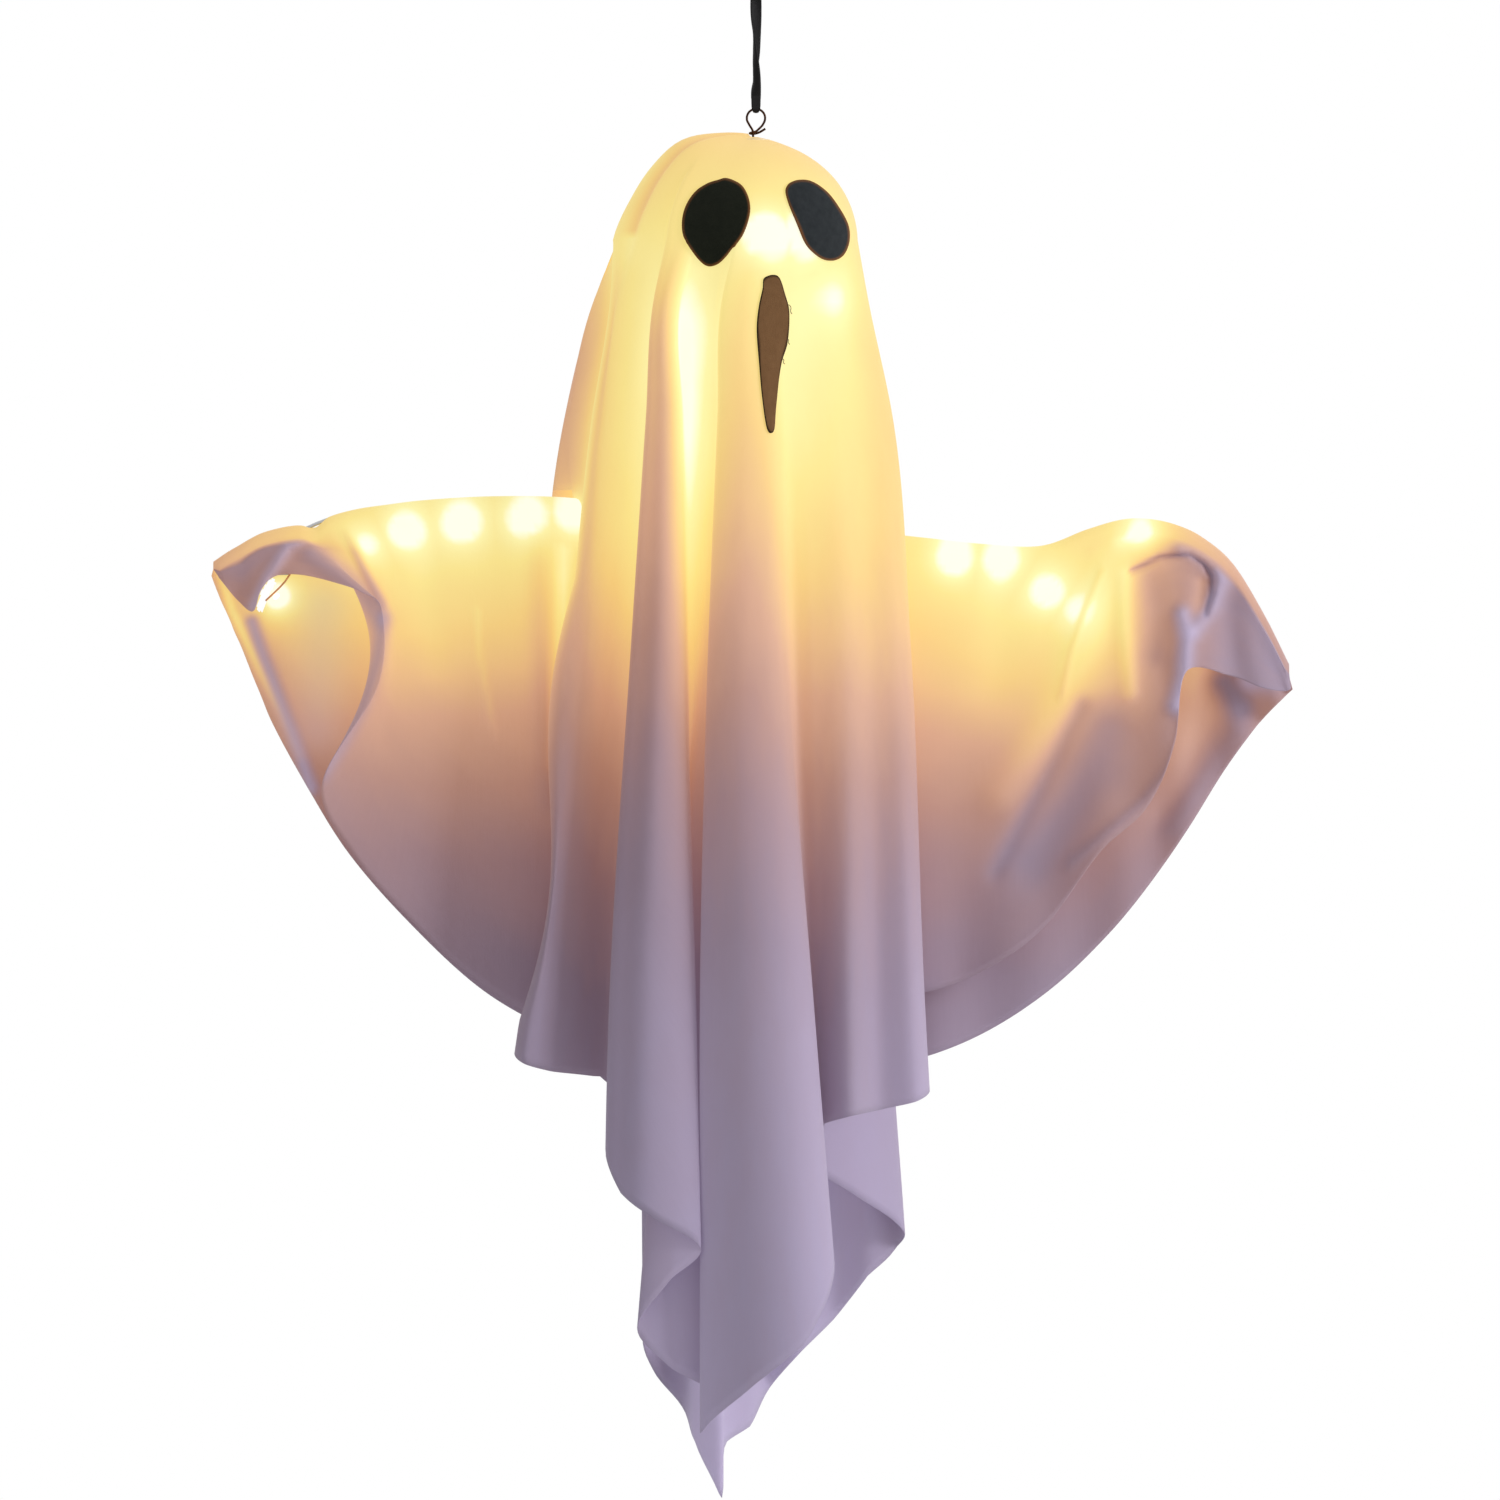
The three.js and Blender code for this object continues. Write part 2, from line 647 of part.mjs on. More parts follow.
const RIGHT_WING = [
  { crest: [62, null], front: [62, -548, -7], back: [60, -584, 7], bow: 0 },
  { crest: [88, null], front: [94, -543, -7], back: [92, -577, 7], bow: 0 },
  { crest: [118, null], front: [122, -531, -10], back: [124, -563, 9], bow: 0 },
  { crest: [148, null], front: [150, -510, -16], back: [156, -541, 11], bow: 0 },
  { crest: [172, null], front: [178, -472, -22], back: [184, -514, 12], bow: 0 },
  { crest: [190, null], front: [203, -448, -26], back: [206, -487, 12], bow: 4 },
  { crest: [204, null], front: [217, -415, -26], back: [224, -461, 11], bow: 4 },
  { crest: [218, null], front: [223, -378, -22], back: [242, -432, 10], bow: 0 },
  { crest: [232, null], front: [246, -380, -17], back: [256, -412, 8], bow: 0 },
  { crest: [248, -322], front: [262, -386, -12], back: [266, -400, 6], bow: 0 },
  { crest: [264, -348], front: [274, -388, -8], back: [275, -391, 3], bow: 0 },
  { crest: [277, -374], front: [278, -387, -3], back: [279, -387, 2], bow: 0 },
];

// The place on a bent length where it passes a given x, and its direction there

function placeAlong(points, x) {
  const curve = new THREE.CatmullRomCurve3(points, false, "centripetal");
  const steps = 600;
  let best = 0;
  for (let k = 0; k <= steps; k += 1) {
    const miss = Math.abs(curve.getPoint(k / steps).x - x);
    if (miss < Math.abs(curve.getPoint(best).x - x)) best = k / steps;
  }
  return { point: curve.getPoint(best), along: curve.getTangent(best) };
}

const WING_COLUMNS = 24;
const LAYER_ROWS = 6;

function wing(stations, arm) {
  const onArm = (x) => placeAlong(arm, x).point.z + crestRise;
  const crest = stations.map(({ crest: [x, z] }) => at(x, z ?? onArm(x)));
  const hem = (key) => stations.map(({ [key]: [x, z, y] }) => new THREE.Vector3(x, y, z));
  const smooth = (points) => new THREE.CatmullRomCurve3(points, false, "catmullrom", 0.5);
  const [crestLine, frontHem, backHem] = [crest, hem("front"), hem("back")].map(smooth);
  const bows = smooth(stations.map(({ bow }) => at(bow, 0)));
  const inward = Math.sign(crest[0].x - crest.at(-1).x);
  const grid = [];
  for (let k = 0; k <= WING_COLUMNS; k += 1) {
    const u = k / WING_COLUMNS;
    const top = crestLine.getPoint(u);
    const bow = bows.getPoint(u).x * inward;
    const layers = [frontHem.getPoint(u), backHem.getPoint(u)].map((end, layer) => {
      const radius = Math.min(CREST_RADIUS, top.distanceTo(end) * 0.35);
      const side = layer ? 1 : -1;
      const points = [];
      for (const angle of [30, 65]) {
        const turn = THREE.MathUtils.degToRad(angle);
        const y = side * radius * Math.sin(turn);
        points.push(new THREE.Vector3(top.x, y, top.z - radius * (1 - Math.cos(turn))));
      }
      const shoulder = new THREE.Vector3(top.x, side * radius, top.z - radius);
      for (let j = 0; j <= LAYER_ROWS; j += 1) {
        const share = j / LAYER_ROWS;
        const p = shoulder.clone().lerp(end, share);
        if (!layer) p.x += bow * Math.sin(Math.PI * share);
        points.push(p);
      }
      return points;
    });
    grid.push([...layers[0].reverse(), top, ...layers[1]]);
  }
  return sheetSolid(grid, CLOTH_THICK, false);
}

// Felt face patches: outlines in x and height over the face level, laid on the cloth

const LEFT_EYE = [
  [-14.2, 26.3], [-6.4, 21.7], [-2.9, 11], [-6.4, -2.1], [-13.6, -11.7], [-19.6, -17.6],
  [-25.5, -18.3], [-31.5, -12.9], [-36.9, -4.5], [-38.1, 3.8], [-36.2, 12.2], [-31.5, 19.3],
  [-25.5, 23.5], [-19.6, 25.5],
];
const RIGHT_EYE = [
  [19.9, 25.3], [27.6, 25.3], [35.4, 20.5], [41.3, 13.4], [46.7, 3.8], [47.5, -4.5],
  [44.9, -11.7], [40.1, -15.1], [34.2, -14.7], [28.2, -10.5], [24.6, -5.7], [21.1, 2.6],
  [16.3, 14.6], [15.3, 21.7],
];
const MOUTH = [
  [4.3, -24.8], [10.9, -23.9], [14.4, -33.2], [16.6, -42.7], [15.7, -58.2], [12.1, -70.1],
  [9.7, -90.5], [8.5, -103.8], [5.5, -103], [3, -86.9], [1.5, -70.1], [0.2, -52.2],
  [1.2, -40.3], [3.2, -30.8],
];
const FELT_THICK = 1;
const FELT_GAP = 0.7;
const FELT_RINGS = 5;

function feltPatch(outline, cloth) {
  const ray = new THREE.Raycaster();
  const forward = new THREE.Vector3(0, 1, 0);
  const centre = outline.reduce(([a, b], [x, z]) => [a + x, b + z], [0, 0]);
  const middle = centre.map((sum) => sum / outline.length);
  const onCloth = ([x, z], lift) => {
    ray.set(new THREE.Vector3(x, -4 * BALL_RADIUS, FACE_LEVEL + z), forward);
    const [hit] = ray.intersectObject(cloth);
    const inside = new THREE.Vector3(SPINE_X, 0, Math.min(hit.point.z, headLevel));
    const outward = hit.point.clone().sub(inside).normalize();
    return hit.point.addScaledVector(outward, lift);
  };
  const spots = [middle];
  for (let ring = 1; ring <= FELT_RINGS; ring += 1) {
    for (const [x, z] of outline) {
      const share = ring / FELT_RINGS;
      spots.push([middle[0] + (x - middle[0]) * share, middle[1] + (z - middle[1]) * share]);
    }
  }
  const positions = [];
  for (const lift of [FELT_GAP, FELT_GAP + FELT_THICK]) {
    for (const spot of spots) positions.push(...onCloth(spot, lift).toArray());
  }
  const n = outline.length;
  const total = spots.length;
  const index = [];
  const face = (a, b, c) => index.push(a, b, c, a + total, c + total, b + total);
  const spot = (ring, k) => 1 + (ring - 1) * n + (k % n);
  for (let k = 0; k < n; k += 1) {
    face(0, spot(1, k), spot(1, k + 1));
    for (let ring = 1; ring < FELT_RINGS; ring += 1) {
      face(spot(ring, k), spot(ring + 1, k), spot(ring + 1, k + 1));
      face(spot(ring, k), spot(ring + 1, k + 1), spot(ring, k + 1));
    }
    const [a, b] = [spot(FELT_RINGS, k), spot(FELT_RINGS, k + 1)];
    index.push(a, a + total, b + total, a, b + total, b);
  }
  const geometry = new THREE.BufferGeometry();
  geometry.setAttribute("position", new THREE.Float32BufferAttribute(positions, 3));
  geometry.setIndex(index);
  return geometry;
}

// Light string: a coil on the spine, a spiral on the ball, a lead to each shoulder,
// and a length along each arm

const spiralRadius = BALL_RADIUS + SEAT + LIGHT_WIRE_RADIUS + 0.35;
const SPIRAL_FROM = THREE.MathUtils.degToRad(152);
const SPIRAL_TO = THREE.MathUtils.degToRad(38);
const SPIRAL_PHASE = 2.54;
const SPIRAL_STEPS = 78;
const COIL_PITCH = 58;
const COIL_BELOW_BALL = 10.6;
const COIL_BOTTOM = -316;
const coilTop = ballCentre.z - BALL_RADIUS - COIL_BELOW_BALL;

function spherePoint(radius, polar, turn) {
  return new THREE.Vector3(
    ballCentre.x + radius * Math.sin(polar) * Math.cos(turn),
    ballCentre.y + radius * Math.sin(polar) * Math.sin(turn),
    ballCentre.z + radius * Math.cos(polar),
  );
}

function headSpiral() {
  const points = [];
  for (let k = 0; k <= SPIRAL_STEPS; k += 1) {
    const share = k / SPIRAL_STEPS;
    const polar = THREE.MathUtils.lerp(SPIRAL_FROM, SPIRAL_TO, share);
    points.push(spherePoint(spiralRadius, polar, 2 * Math.PI * HEAD_TURNS * share + SPIRAL_PHASE));
  }
  return points;
}

function coilPoint(radius, turn, z) {
  return new THREE.Vector3(SPINE_X + radius * Math.cos(turn), radius * Math.sin(turn), z);
}

const coilTurn = (z) => Math.PI / 2 + ((z - BINDING_Z) / COIL_PITCH) * 2 * Math.PI;

function spineCoil() {
  const caseEntry = [
    new THREE.Vector3(9, 7, CASE_TOP_Z + SEAT),
    new THREE.Vector3(9.5, 6.2, CASE_TOP_Z + 3.4),
    new THREE.Vector3(10.6, 1, CASE_TOP_Z + 6.5),
  ];
  const points = [...caseEntry];
  const steps = 36;
  for (let k = 0; k <= steps; k += 1) {
    const z = THREE.MathUtils.lerp(COIL_BOTTOM, coilTop, k / steps);
    points.push(coilPoint(SPINE_COIL_RADIUS, coilTurn(z), z));
  }
  const start = spherePoint(spiralRadius, SPIRAL_FROM, SPIRAL_PHASE);
  const endTurn = coilTurn(coilTop);
  const whole = 2 * Math.PI;
  const gain = whole - ((endTurn - SPIRAL_PHASE) % whole);
  const flare = 12;
  for (let k = 1; k <= flare; k += 1) {
    const share = (k / flare) * 0.99;
    const radius = THREE.MathUtils.lerp(SPINE_COIL_RADIUS, spiralRadius * Math.sin(SPIRAL_FROM), share);
    const z = THREE.MathUtils.lerp(coilTop, start.z, share);
    points.push(coilPoint(radius, endTurn + gain * share, z));
  }
  return points;
}

const v = (x, y, z) => new THREE.Vector3(x, y, z);
const LEFT_LEAD = [v(-14.6, 0, -284.5), v(-15.5, 4.5, -289), v(-13.2, 8.5, -294.5), v(-11.4, 5.8, -298)];
const RIGHT_LEAD = [v(11.6, 0, -313.5), v(13, 4.5, -308), v(10.2, 8.5, -303.5), v(8.2, 5.8, -299.8)];
const LEFT_LIGHTS = [
  v(-11.4, 5, -298),
  v(-16, 4, -299.8),
  v(-26, 1, -299.4),
  v(-60, 0, -295.4),
  v(-94, 0, -293.4),
  v(-119, 0, -296.5),
  v(-153, 0, -298.5),
  v(-183, 0, -302.5),
  v(-204, 0, -312),
  v(-222, 1, -309),
  v(-235, 3.5, -316),
  v(-245, 4, -331),
  v(-255, 2, -341),
];
const RIGHT_LIGHTS = [
  v(8.2, 5, -299.8),
  v(13, 4, -302),
  v(22, 1, -305),
  v(60, 0, -310.4),
  v(90, 0, -314.8),
  v(103, 0, -316.8),
  v(128, 0, -320),
  v(153, 0, -335),
  v(168, 0, -345),
  v(182, 0, -330),
  v(190, 0, -312),
  v(200, 0, -305),
  v(214, 0, -307.5),
];
const STRING = {
  left: { route: LEFT_LIGHTS, beads: [-94, -119, -153, -183, -204, -251] },
  right: { route: RIGHT_LIGHTS, beads: [103, 128, 153, 168, 200] },
};
const SPINE_BEADS = [-230, -240, -266];
const HEAD_BEADS = [0.077, 0.192, 0.436, 0.526, 0.551, 0.795];

function lightTube(route, steps) {
  const path = new THREE.CatmullRomCurve3(route, false, "centripetal");
  return sweptTube(path.getPoints(steps), LIGHT_WIRE_RADIUS, 6);
}

function bead() {
  const half = BEAD_LENGTH / 2;
  const profile = [
    [0, -half],
    [BEAD_RADIUS * 0.7, -half * 0.75],
    [BEAD_RADIUS, 0],
    [BEAD_RADIUS * 0.7, half * 0.75],
    [0, half],
  ];
  return new THREE.LatheGeometry(profile.map(([r, h]) => new THREE.Vector2(r, h)), 8);
}

function placedBead(centre, direction) {
  const turn = new THREE.Quaternion().setFromUnitVectors(new THREE.Vector3(0, 1, 0), direction);
  return bead().applyQuaternion(turn).translate(centre.x, centre.y, centre.z);
}

// Battery case behind the spine, its cover slides down, its switch is on top

const caseFront = WIRE_RADIUS + SEAT;
const caseBack = caseFront + CASE_DEPTH;
const caseMiddleZ = CASE_TOP_Z - CASE_HEIGHT / 2;
const cellZ = CASE_TOP_Z - 8 - CELL_RADIUS;
const coverTop = cellZ + CELL_RADIUS + 1.5;

function coverProfile(clearance) {
  const wide = COVER_WIDTH / 2 + clearance;
  const narrow = wide - LIP;
  const shape = new THREE.Shape();
  const under = -COVER_THICK - clearance;
  shape.moveTo(-wide, under);
  shape.lineTo(wide, under);
  shape.lineTo(wide, clearance);
  shape.lineTo(narrow, clearance);
  shape.lineTo(narrow, COVER_THICK + clearance);
  shape.lineTo(-narrow, COVER_THICK + clearance);
  shape.lineTo(-narrow, clearance);
  shape.lineTo(-wide, clearance);
  shape.closePath();
  return shape;
}

function coverSolid(clearance, length, topZ) {
  const options = { depth: length, bevelEnabled: false };
  const seat = caseBack - COVER_THICK;
  return new THREE.ExtrudeGeometry(coverProfile(clearance), options).translate(
    SPINE_X,
    seat,
    topZ - length,
  );
}

function batteryCase() {
  const body = box(CASE_WIDTH, CASE_DEPTH, CASE_HEIGHT, SPINE_X, caseFront + CASE_DEPTH / 2, caseMiddleZ);
  const slotLength = coverTop - (CASE_TOP_Z - CASE_HEIGHT) + 5;
  const slot = coverSolid(SEAT, slotLength, coverTop + SEAT);
  const pocketFloor = caseFront + CASE_WALL;
  const pocketDepth = caseBack - pocketFloor;
  const pocket = disc(CELL_RADIUS + SEAT, pocketDepth, SPINE_X, pocketFloor + pocketDepth / 2, cellZ);
  const switchSlot = box(
    SLIDER_LENGTH + SLIDER_TRAVEL + 2 * SEAT,
    3,
    2 * CASE_WALL,
    SPINE_X,
    caseFront + CASE_DEPTH / 2,
    CASE_TOP_Z,
  );
  return cut(body, slot, pocket, switchSlot);
}

const cellFloor = caseFront + CASE_WALL + SEAT + 0.4 + SEAT;

function coinCell(level) {
  const y = cellFloor + CELL_THICK / 2 + level * (CELL_THICK + 0.1);
  return disc(CELL_RADIUS, CELL_THICK, SPINE_X, y, cellZ);
}

function contactPlate() {
  return box(8, 0.4, 14, SPINE_X, caseFront + CASE_WALL + SEAT + 0.2, cellZ);
}

function contactClip() {
  const under = caseBack - 2 * COVER_THICK - 2 * SEAT;
  const over = cellFloor + 2 * CELL_THICK + 0.1;
  return box(6, (under - over) * 0.5, 12, SPINE_X, (under + over) / 2, cellZ);
}

function switchSlider() {
  return box(
    SLIDER_LENGTH,
    2.4,
    SLIDER_HEIGHT,
    SPINE_X - SLIDER_TRAVEL / 2,
    caseFront + CASE_DEPTH / 2,
    CASE_TOP_Z - CASE_WALL + SEAT + SLIDER_HEIGHT / 2,
  );
}

function caseTie() {
  const band = 1;
  const half = CASE_WIDTH / 2 + SEAT;
  const front = -WIRE_RADIUS - SEAT;
  const back = caseBack + SEAT;
  const outline = new THREE.Shape();
  outline.moveTo(-half - band, front - band);
  outline.lineTo(half + band, front - band);
  outline.lineTo(half + band, back + band);
  outline.lineTo(-half - band, back + band);
  outline.closePath();
  const inside = new THREE.Path();
  inside.moveTo(-half, front);
  inside.lineTo(half, front);
  inside.lineTo(half, back);
  inside.lineTo(-half, back);
  inside.closePath();
  outline.holes.push(inside);
  const options = { depth: 4, bevelEnabled: false };
  return new THREE.ExtrudeGeometry(outline, options).translate(SPINE_X, 0, CASE_TOP_Z - 7.5);
}

// Assembly

add("hanging_loop", hangingLoop(), "ribbon");
add("ribbon_knot", ribbonKnot(), "ribbon");
add("ribbon_upper", twistedRibbon(knotBottom - SWING_GAP, twistLevel + SEAT / 2, 0, Math.PI / 2), "ribbon");
add("ribbon_lower", twistedRibbon(twistLevel - SEAT / 2, bightTop + SEAT, Math.PI / 2, Math.PI), "ribbon");
add("ribbon_bight", ribbonBight(), "ribbon");
add("hanger_wire", hangerWire(), "wire");
add("head_ball", headBall(), "foam");
add("crown_pad", crownPad(), "glue");
add("ball_crimp", collar(CRIMP_RADIUS, CRIMP_HEIGHT, ballCentre.z - BALL_RADIUS - SEAT, 12), "steel");
add("arm_binding", collar(BINDING_RADIUS, BINDING_HEIGHT, BINDING_Z + BINDING_HEIGHT / 2, 24), "tape");
add("left_arm_wire", armWire(LEFT_ARM, LEFT_HAND), "steel");
add("right_arm_wire", armWire(RIGHT_ARM, RIGHT_HAND), "steel");
const shroudMesh = add("shroud", shroud(), "cloth");
add("left_wing", wing(LEFT_WING, LEFT_ARM), "cloth");
add("right_wing", wing(RIGHT_WING, RIGHT_ARM), "cloth");
add("left_eye", feltPatch(LEFT_EYE, shroudMesh), "darkFelt");
add("right_eye", feltPatch(RIGHT_EYE, shroudMesh), "darkFelt");
add("mouth", feltPatch(MOUTH, shroudMesh), "brownFelt");

const spiral = headSpiral();
const coil = spineCoil();
add("light_wire_head", sweptTube(spiral, LIGHT_WIRE_RADIUS, 6), "lightWire");
add("light_wire_spine", sweptTube(coil, LIGHT_WIRE_RADIUS, 6), "lightWire");
add("light_lead_left", lightTube(LEFT_LEAD, 14), "lightWire");
add("light_lead_right", lightTube(RIGHT_LEAD, 14), "lightWire");
add("light_wire_left", lightTube(LEFT_LIGHTS, 48), "lightWire");
add("light_wire_right", lightTube(RIGHT_LIGHTS, 48), "lightWire");

const beadGap = LIGHT_WIRE_RADIUS + SEAT + BEAD_RADIUS;
HEAD_BEADS.forEach((share, n) => {
  const k = Math.round(share * (spiral.length - 1));
  const along = spiral[k + 1].clone().sub(spiral[k - 1]).normalize();
  const outward = spiral[k].clone().sub(ballCentre);
  const centre = spiral[k].clone().addScaledVector(outward.cross(along).normalize(), beadGap + 0.1);
  centre.sub(ballCentre).setLength(BALL_RADIUS + SEAT + BEAD_RADIUS).add(ballCentre);
  add("led_head_" + (n + 1), placedBead(centre, along), "lamp");
});
SPINE_BEADS.forEach((z, n) => {
  const miss = (p) => Math.abs(p.z - z);
  const nearest = Math.min(...coil.map(miss));
  const k = coil.findIndex((p) => miss(p) === nearest);
  const along = coil[k + 1].clone().sub(coil[k - 1]).normalize();
  const outward = v(coil[k].x - SPINE_X, coil[k].y, 0).normalize();
  add("led_spine_" + (n + 1), placedBead(coil[k].clone().addScaledVector(outward, beadGap), along), "lamp");
});
for (const [side, { route, beads }] of Object.entries(STRING)) {
  beads.forEach((x, n) => {
    const { point, along } = placeAlong(route, x);
    const under = v(along.z, 0, -along.x).multiplyScalar(Math.sign(along.x)).normalize();
    add("led_" + side + "_" + (n + 1), placedBead(point.addScaledVector(under, beadGap), along), "lamp");
  });
}

add("battery_case", batteryCase(), "plastic");
add("battery_cover", coverSolid(0, COVER_LENGTH, coverTop), "plastic");
add("switch_slider", switchSlider(), "darkPlastic");
add("coin_cell_lower", coinCell(0), "steel");
add("coin_cell_upper", coinCell(1), "steel");
add("contact_plate", contactPlate(), "steel");
add("contact_clip", contactClip(), "steel");
add("case_tie", caseTie(), "darkPlastic");

export default part;
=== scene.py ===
import collections
import functools
import json
import math

import bmesh
import bpy
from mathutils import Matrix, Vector
from mathutils.bvhtree import BVHTree
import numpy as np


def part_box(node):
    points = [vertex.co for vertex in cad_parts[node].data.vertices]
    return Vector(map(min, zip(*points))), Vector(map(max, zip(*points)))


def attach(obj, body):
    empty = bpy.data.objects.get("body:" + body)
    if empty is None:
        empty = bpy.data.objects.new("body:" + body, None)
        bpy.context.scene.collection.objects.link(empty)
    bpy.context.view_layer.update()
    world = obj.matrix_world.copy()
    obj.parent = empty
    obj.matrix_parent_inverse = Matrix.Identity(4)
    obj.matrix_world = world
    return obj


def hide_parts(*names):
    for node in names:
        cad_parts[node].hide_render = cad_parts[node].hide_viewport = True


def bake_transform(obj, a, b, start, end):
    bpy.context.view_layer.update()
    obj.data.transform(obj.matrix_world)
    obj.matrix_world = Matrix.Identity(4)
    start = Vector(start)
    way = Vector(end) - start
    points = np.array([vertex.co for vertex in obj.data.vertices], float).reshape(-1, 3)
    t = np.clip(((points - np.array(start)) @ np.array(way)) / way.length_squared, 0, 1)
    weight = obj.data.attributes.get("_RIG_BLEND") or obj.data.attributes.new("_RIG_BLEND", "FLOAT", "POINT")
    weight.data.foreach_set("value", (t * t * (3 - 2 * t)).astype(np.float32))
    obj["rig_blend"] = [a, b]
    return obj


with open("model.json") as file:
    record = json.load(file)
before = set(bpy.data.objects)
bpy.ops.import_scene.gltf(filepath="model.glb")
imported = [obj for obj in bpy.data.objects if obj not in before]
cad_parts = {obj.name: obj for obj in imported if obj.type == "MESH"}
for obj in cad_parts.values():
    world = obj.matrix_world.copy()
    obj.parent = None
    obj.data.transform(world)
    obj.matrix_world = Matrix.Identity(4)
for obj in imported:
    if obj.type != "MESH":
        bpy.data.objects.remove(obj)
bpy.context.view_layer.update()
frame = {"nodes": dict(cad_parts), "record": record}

# A cloth ghost that hangs on a ribbon, lit from inside.
# Sizes are written in millimetres and become metres as each piece is made.
# +Z is up, the face looks along -Y, and the origin is the inside top of the ribbon's loop.

MM = 0.001

# Camera: level with the middle of the ghost, far off, so that depth hardly changes widths
VIEW_MIDDLE = Vector((-3.1, 0, -418.6)) * MM
VIEW_WIDTH = 0.78
LENS = 400
SENSOR = 36
CAMERA_DISTANCE = VIEW_WIDTH * LENS / SENSOR

scene = bpy.context.scene


def add_object(name, data):
    thing = bpy.data.objects.new(name, data)
    scene.collection.objects.link(thing)
    return thing


camera_data = bpy.data.cameras.new("camera")
camera_data.lens = LENS
camera_data.sensor_width = SENSOR
camera_data.clip_end = 100
camera = add_object("camera", camera_data)
camera.location = VIEW_MIDDLE + Vector((0, -CAMERA_DISTANCE, 0))
camera.rotation_euler = (math.pi / 2, 0, 0)
scene.camera = camera


# Shader maths

class Socket:
    """A node's output that takes part in sums, differences and products."""

    def __init__(self, nodes, output):
        self.nodes = nodes
        self.output = output

    def maths(self, operation, one, other):
        return self.nodes.add("ShaderNodeMath", {"operation": operation}, {0: one, 1: other})

    def __add__(self, other):
        return self.maths("ADD", self, other)

    __radd__ = __add__

    def __sub__(self, other):
        return self.maths("SUBTRACT", self, other)

    def __rsub__(self, other):
        return self.maths("SUBTRACT", other, self)

    def __mul__(self, other):
        return self.maths("MULTIPLY", self, other)

    def or_more(self, other):
        return self.maths("MAXIMUM", self, other)


class Nodes:
    """The nodes of one material or world."""

    def __init__(self, tree):
        self.tree = tree

    def add(self, kind, settings, inputs, output=0):
        node = self.tree.nodes.new(kind)
        for key, value in settings.items():
            setattr(node, key, value)
        self.feed(node, inputs)
        return Socket(self, node.outputs[output])

    def feed(self, node, inputs):
        """Link or set inputs; for a colour three numbers are enough."""
        for key, value in inputs.items():
            place = node.inputs[key]
            if isinstance(value, Socket):
                self.tree.links.new(value.output, place)
            else:
                place.default_value = (*value, 1) if place.type == "RGBA" else value


class Finish(Nodes):
    """One material and the nodes that make it."""

    def __init__(self, name):
        self.material = bpy.data.materials.new(name)
        self.material.use_nodes = True
        super().__init__(self.material.node_tree)

    def ramp(self, factor, stops):
        shade = self.add("ShaderNodeValToRGB", {}, {"Fac": factor})
        marks = shade.output.node.color_ramp.elements
        while len(marks) < len(stops):
            marks.new(0.5)
        for mark, (place, *colour) in zip(marks, stops):
            mark.position = place
            mark.color = (*colour, 1)
        return shade

    def between(self, value, low, high):
        """0 at low, 1 at high, eased."""
        settings = {"interpolation_type": "SMOOTHSTEP"}
        return self.add("ShaderNodeMapRange", settings, {"Value": value, 1: low, 2: high})

    def mix(self, factor, one, other):
        inputs = {0: factor, 6: one, 7: other}
        return self.add("ShaderNodeMix", {"data_type": "RGBA"}, inputs, output=2)

    def place(self, scale=(1, 1, 1), of="Object"):
        coordinates = self.add("ShaderNodeTexCoord", {}, {}, output=of)
        return self.add("ShaderNodeMapping", {}, {"Vector": coordinates, "Scale": scale})

    def attribute(self, name):
        return self.add("ShaderNodeAttribute", {"attribute_name": name}, {}, output="Fac")

    def noise(self, vector, scale, detail, roughness=0.5):
        inputs = {"Vector": vector, "Scale": scale, "Detail": detail, "Roughness": roughness}
        return self.add("ShaderNodeTexNoise", {}, inputs)

    def wave(self, vector, scale, direction, distortion, shape="SIN"):
        settings = {"bands_direction": direction, "wave_profile": shape}
        inputs = {"Vector": vector, "Scale": scale, "Distortion": distortion, "Detail": 1}
        return self.add("ShaderNodeTexWave", settings, inputs, output="Fac")

    def bump(self, height, distance, strength):
        inputs = {"Height": height, "Distance": distance, "Strength": strength}
        return self.add("ShaderNodeBump", {}, inputs)

    def done(self, **sockets):
        """Feed the material's shader; each socket is named with _ for a space."""
        names = {key.replace("_", " ").title().replace("Ior", "IOR"): value
                 for key, value in sockets.items()}
        self.feed(self.tree.nodes["Principled BSDF"], names)
        return self.material


# Finishes

# Painted light: the cloth's base colours by how strongly the painted lamp glow lights it, a painted lavender
# shade where unlit and warmer where lit, then the colours of the painted glow itself
PAINTED_LIGHT_CLOTH_TINTS = [
    (0, 0.365, 0.32, 0.475),
    (0.12, 0.335, 0.268, 0.36),
    (0.3, 0.32, 0.23, 0.235),
    (0.6, 0.31, 0.22, 0.13),
    (1, 0.34, 0.29, 0.14),
]
GLOW_TINTS = [
    (0, 0.03, 0.026, 0.036),
    (0.12, 0.04, 0.018, 0.02),
    (0.2, 0.12, 0.045, 0.03),
    (0.3, 0.26, 0.11, 0.06),
    (0.42, 0.46, 0.225, 0.12),
    (0.52, 0.62, 0.36, 0.14),
    (0.62, 0.72, 0.49, 0.15),
    (0.75, 0.76, 0.63, 0.2),
    (0.9, 0.8, 0.75, 0.34),
    (1, 0.9, 0.9, 0.76),
]
# Colour of the painted daylight that shows through the cloth, given as emission
DAYLIGHT = (0.26, 0.225, 0.33)

# Threads, ribs and turns of tape, from one to the next, in metres
THREAD = 0.00042
SATIN_RIB = 0.00025
TAPE_THREAD = 0.0005
TAPE_TURN = 0.0036


def wave_scale(pitch):
    """The wave node's scale for bands that are a pitch apart."""
    return math.pi / (10 * pitch)


def weave(finish, vector, pitch):
    """Height of a plain weave whose threads are a pitch apart."""
    across, down = [finish.wave(vector, wave_scale(pitch), axis, 0.6) for axis in "XY"]
    return across.or_more(down)


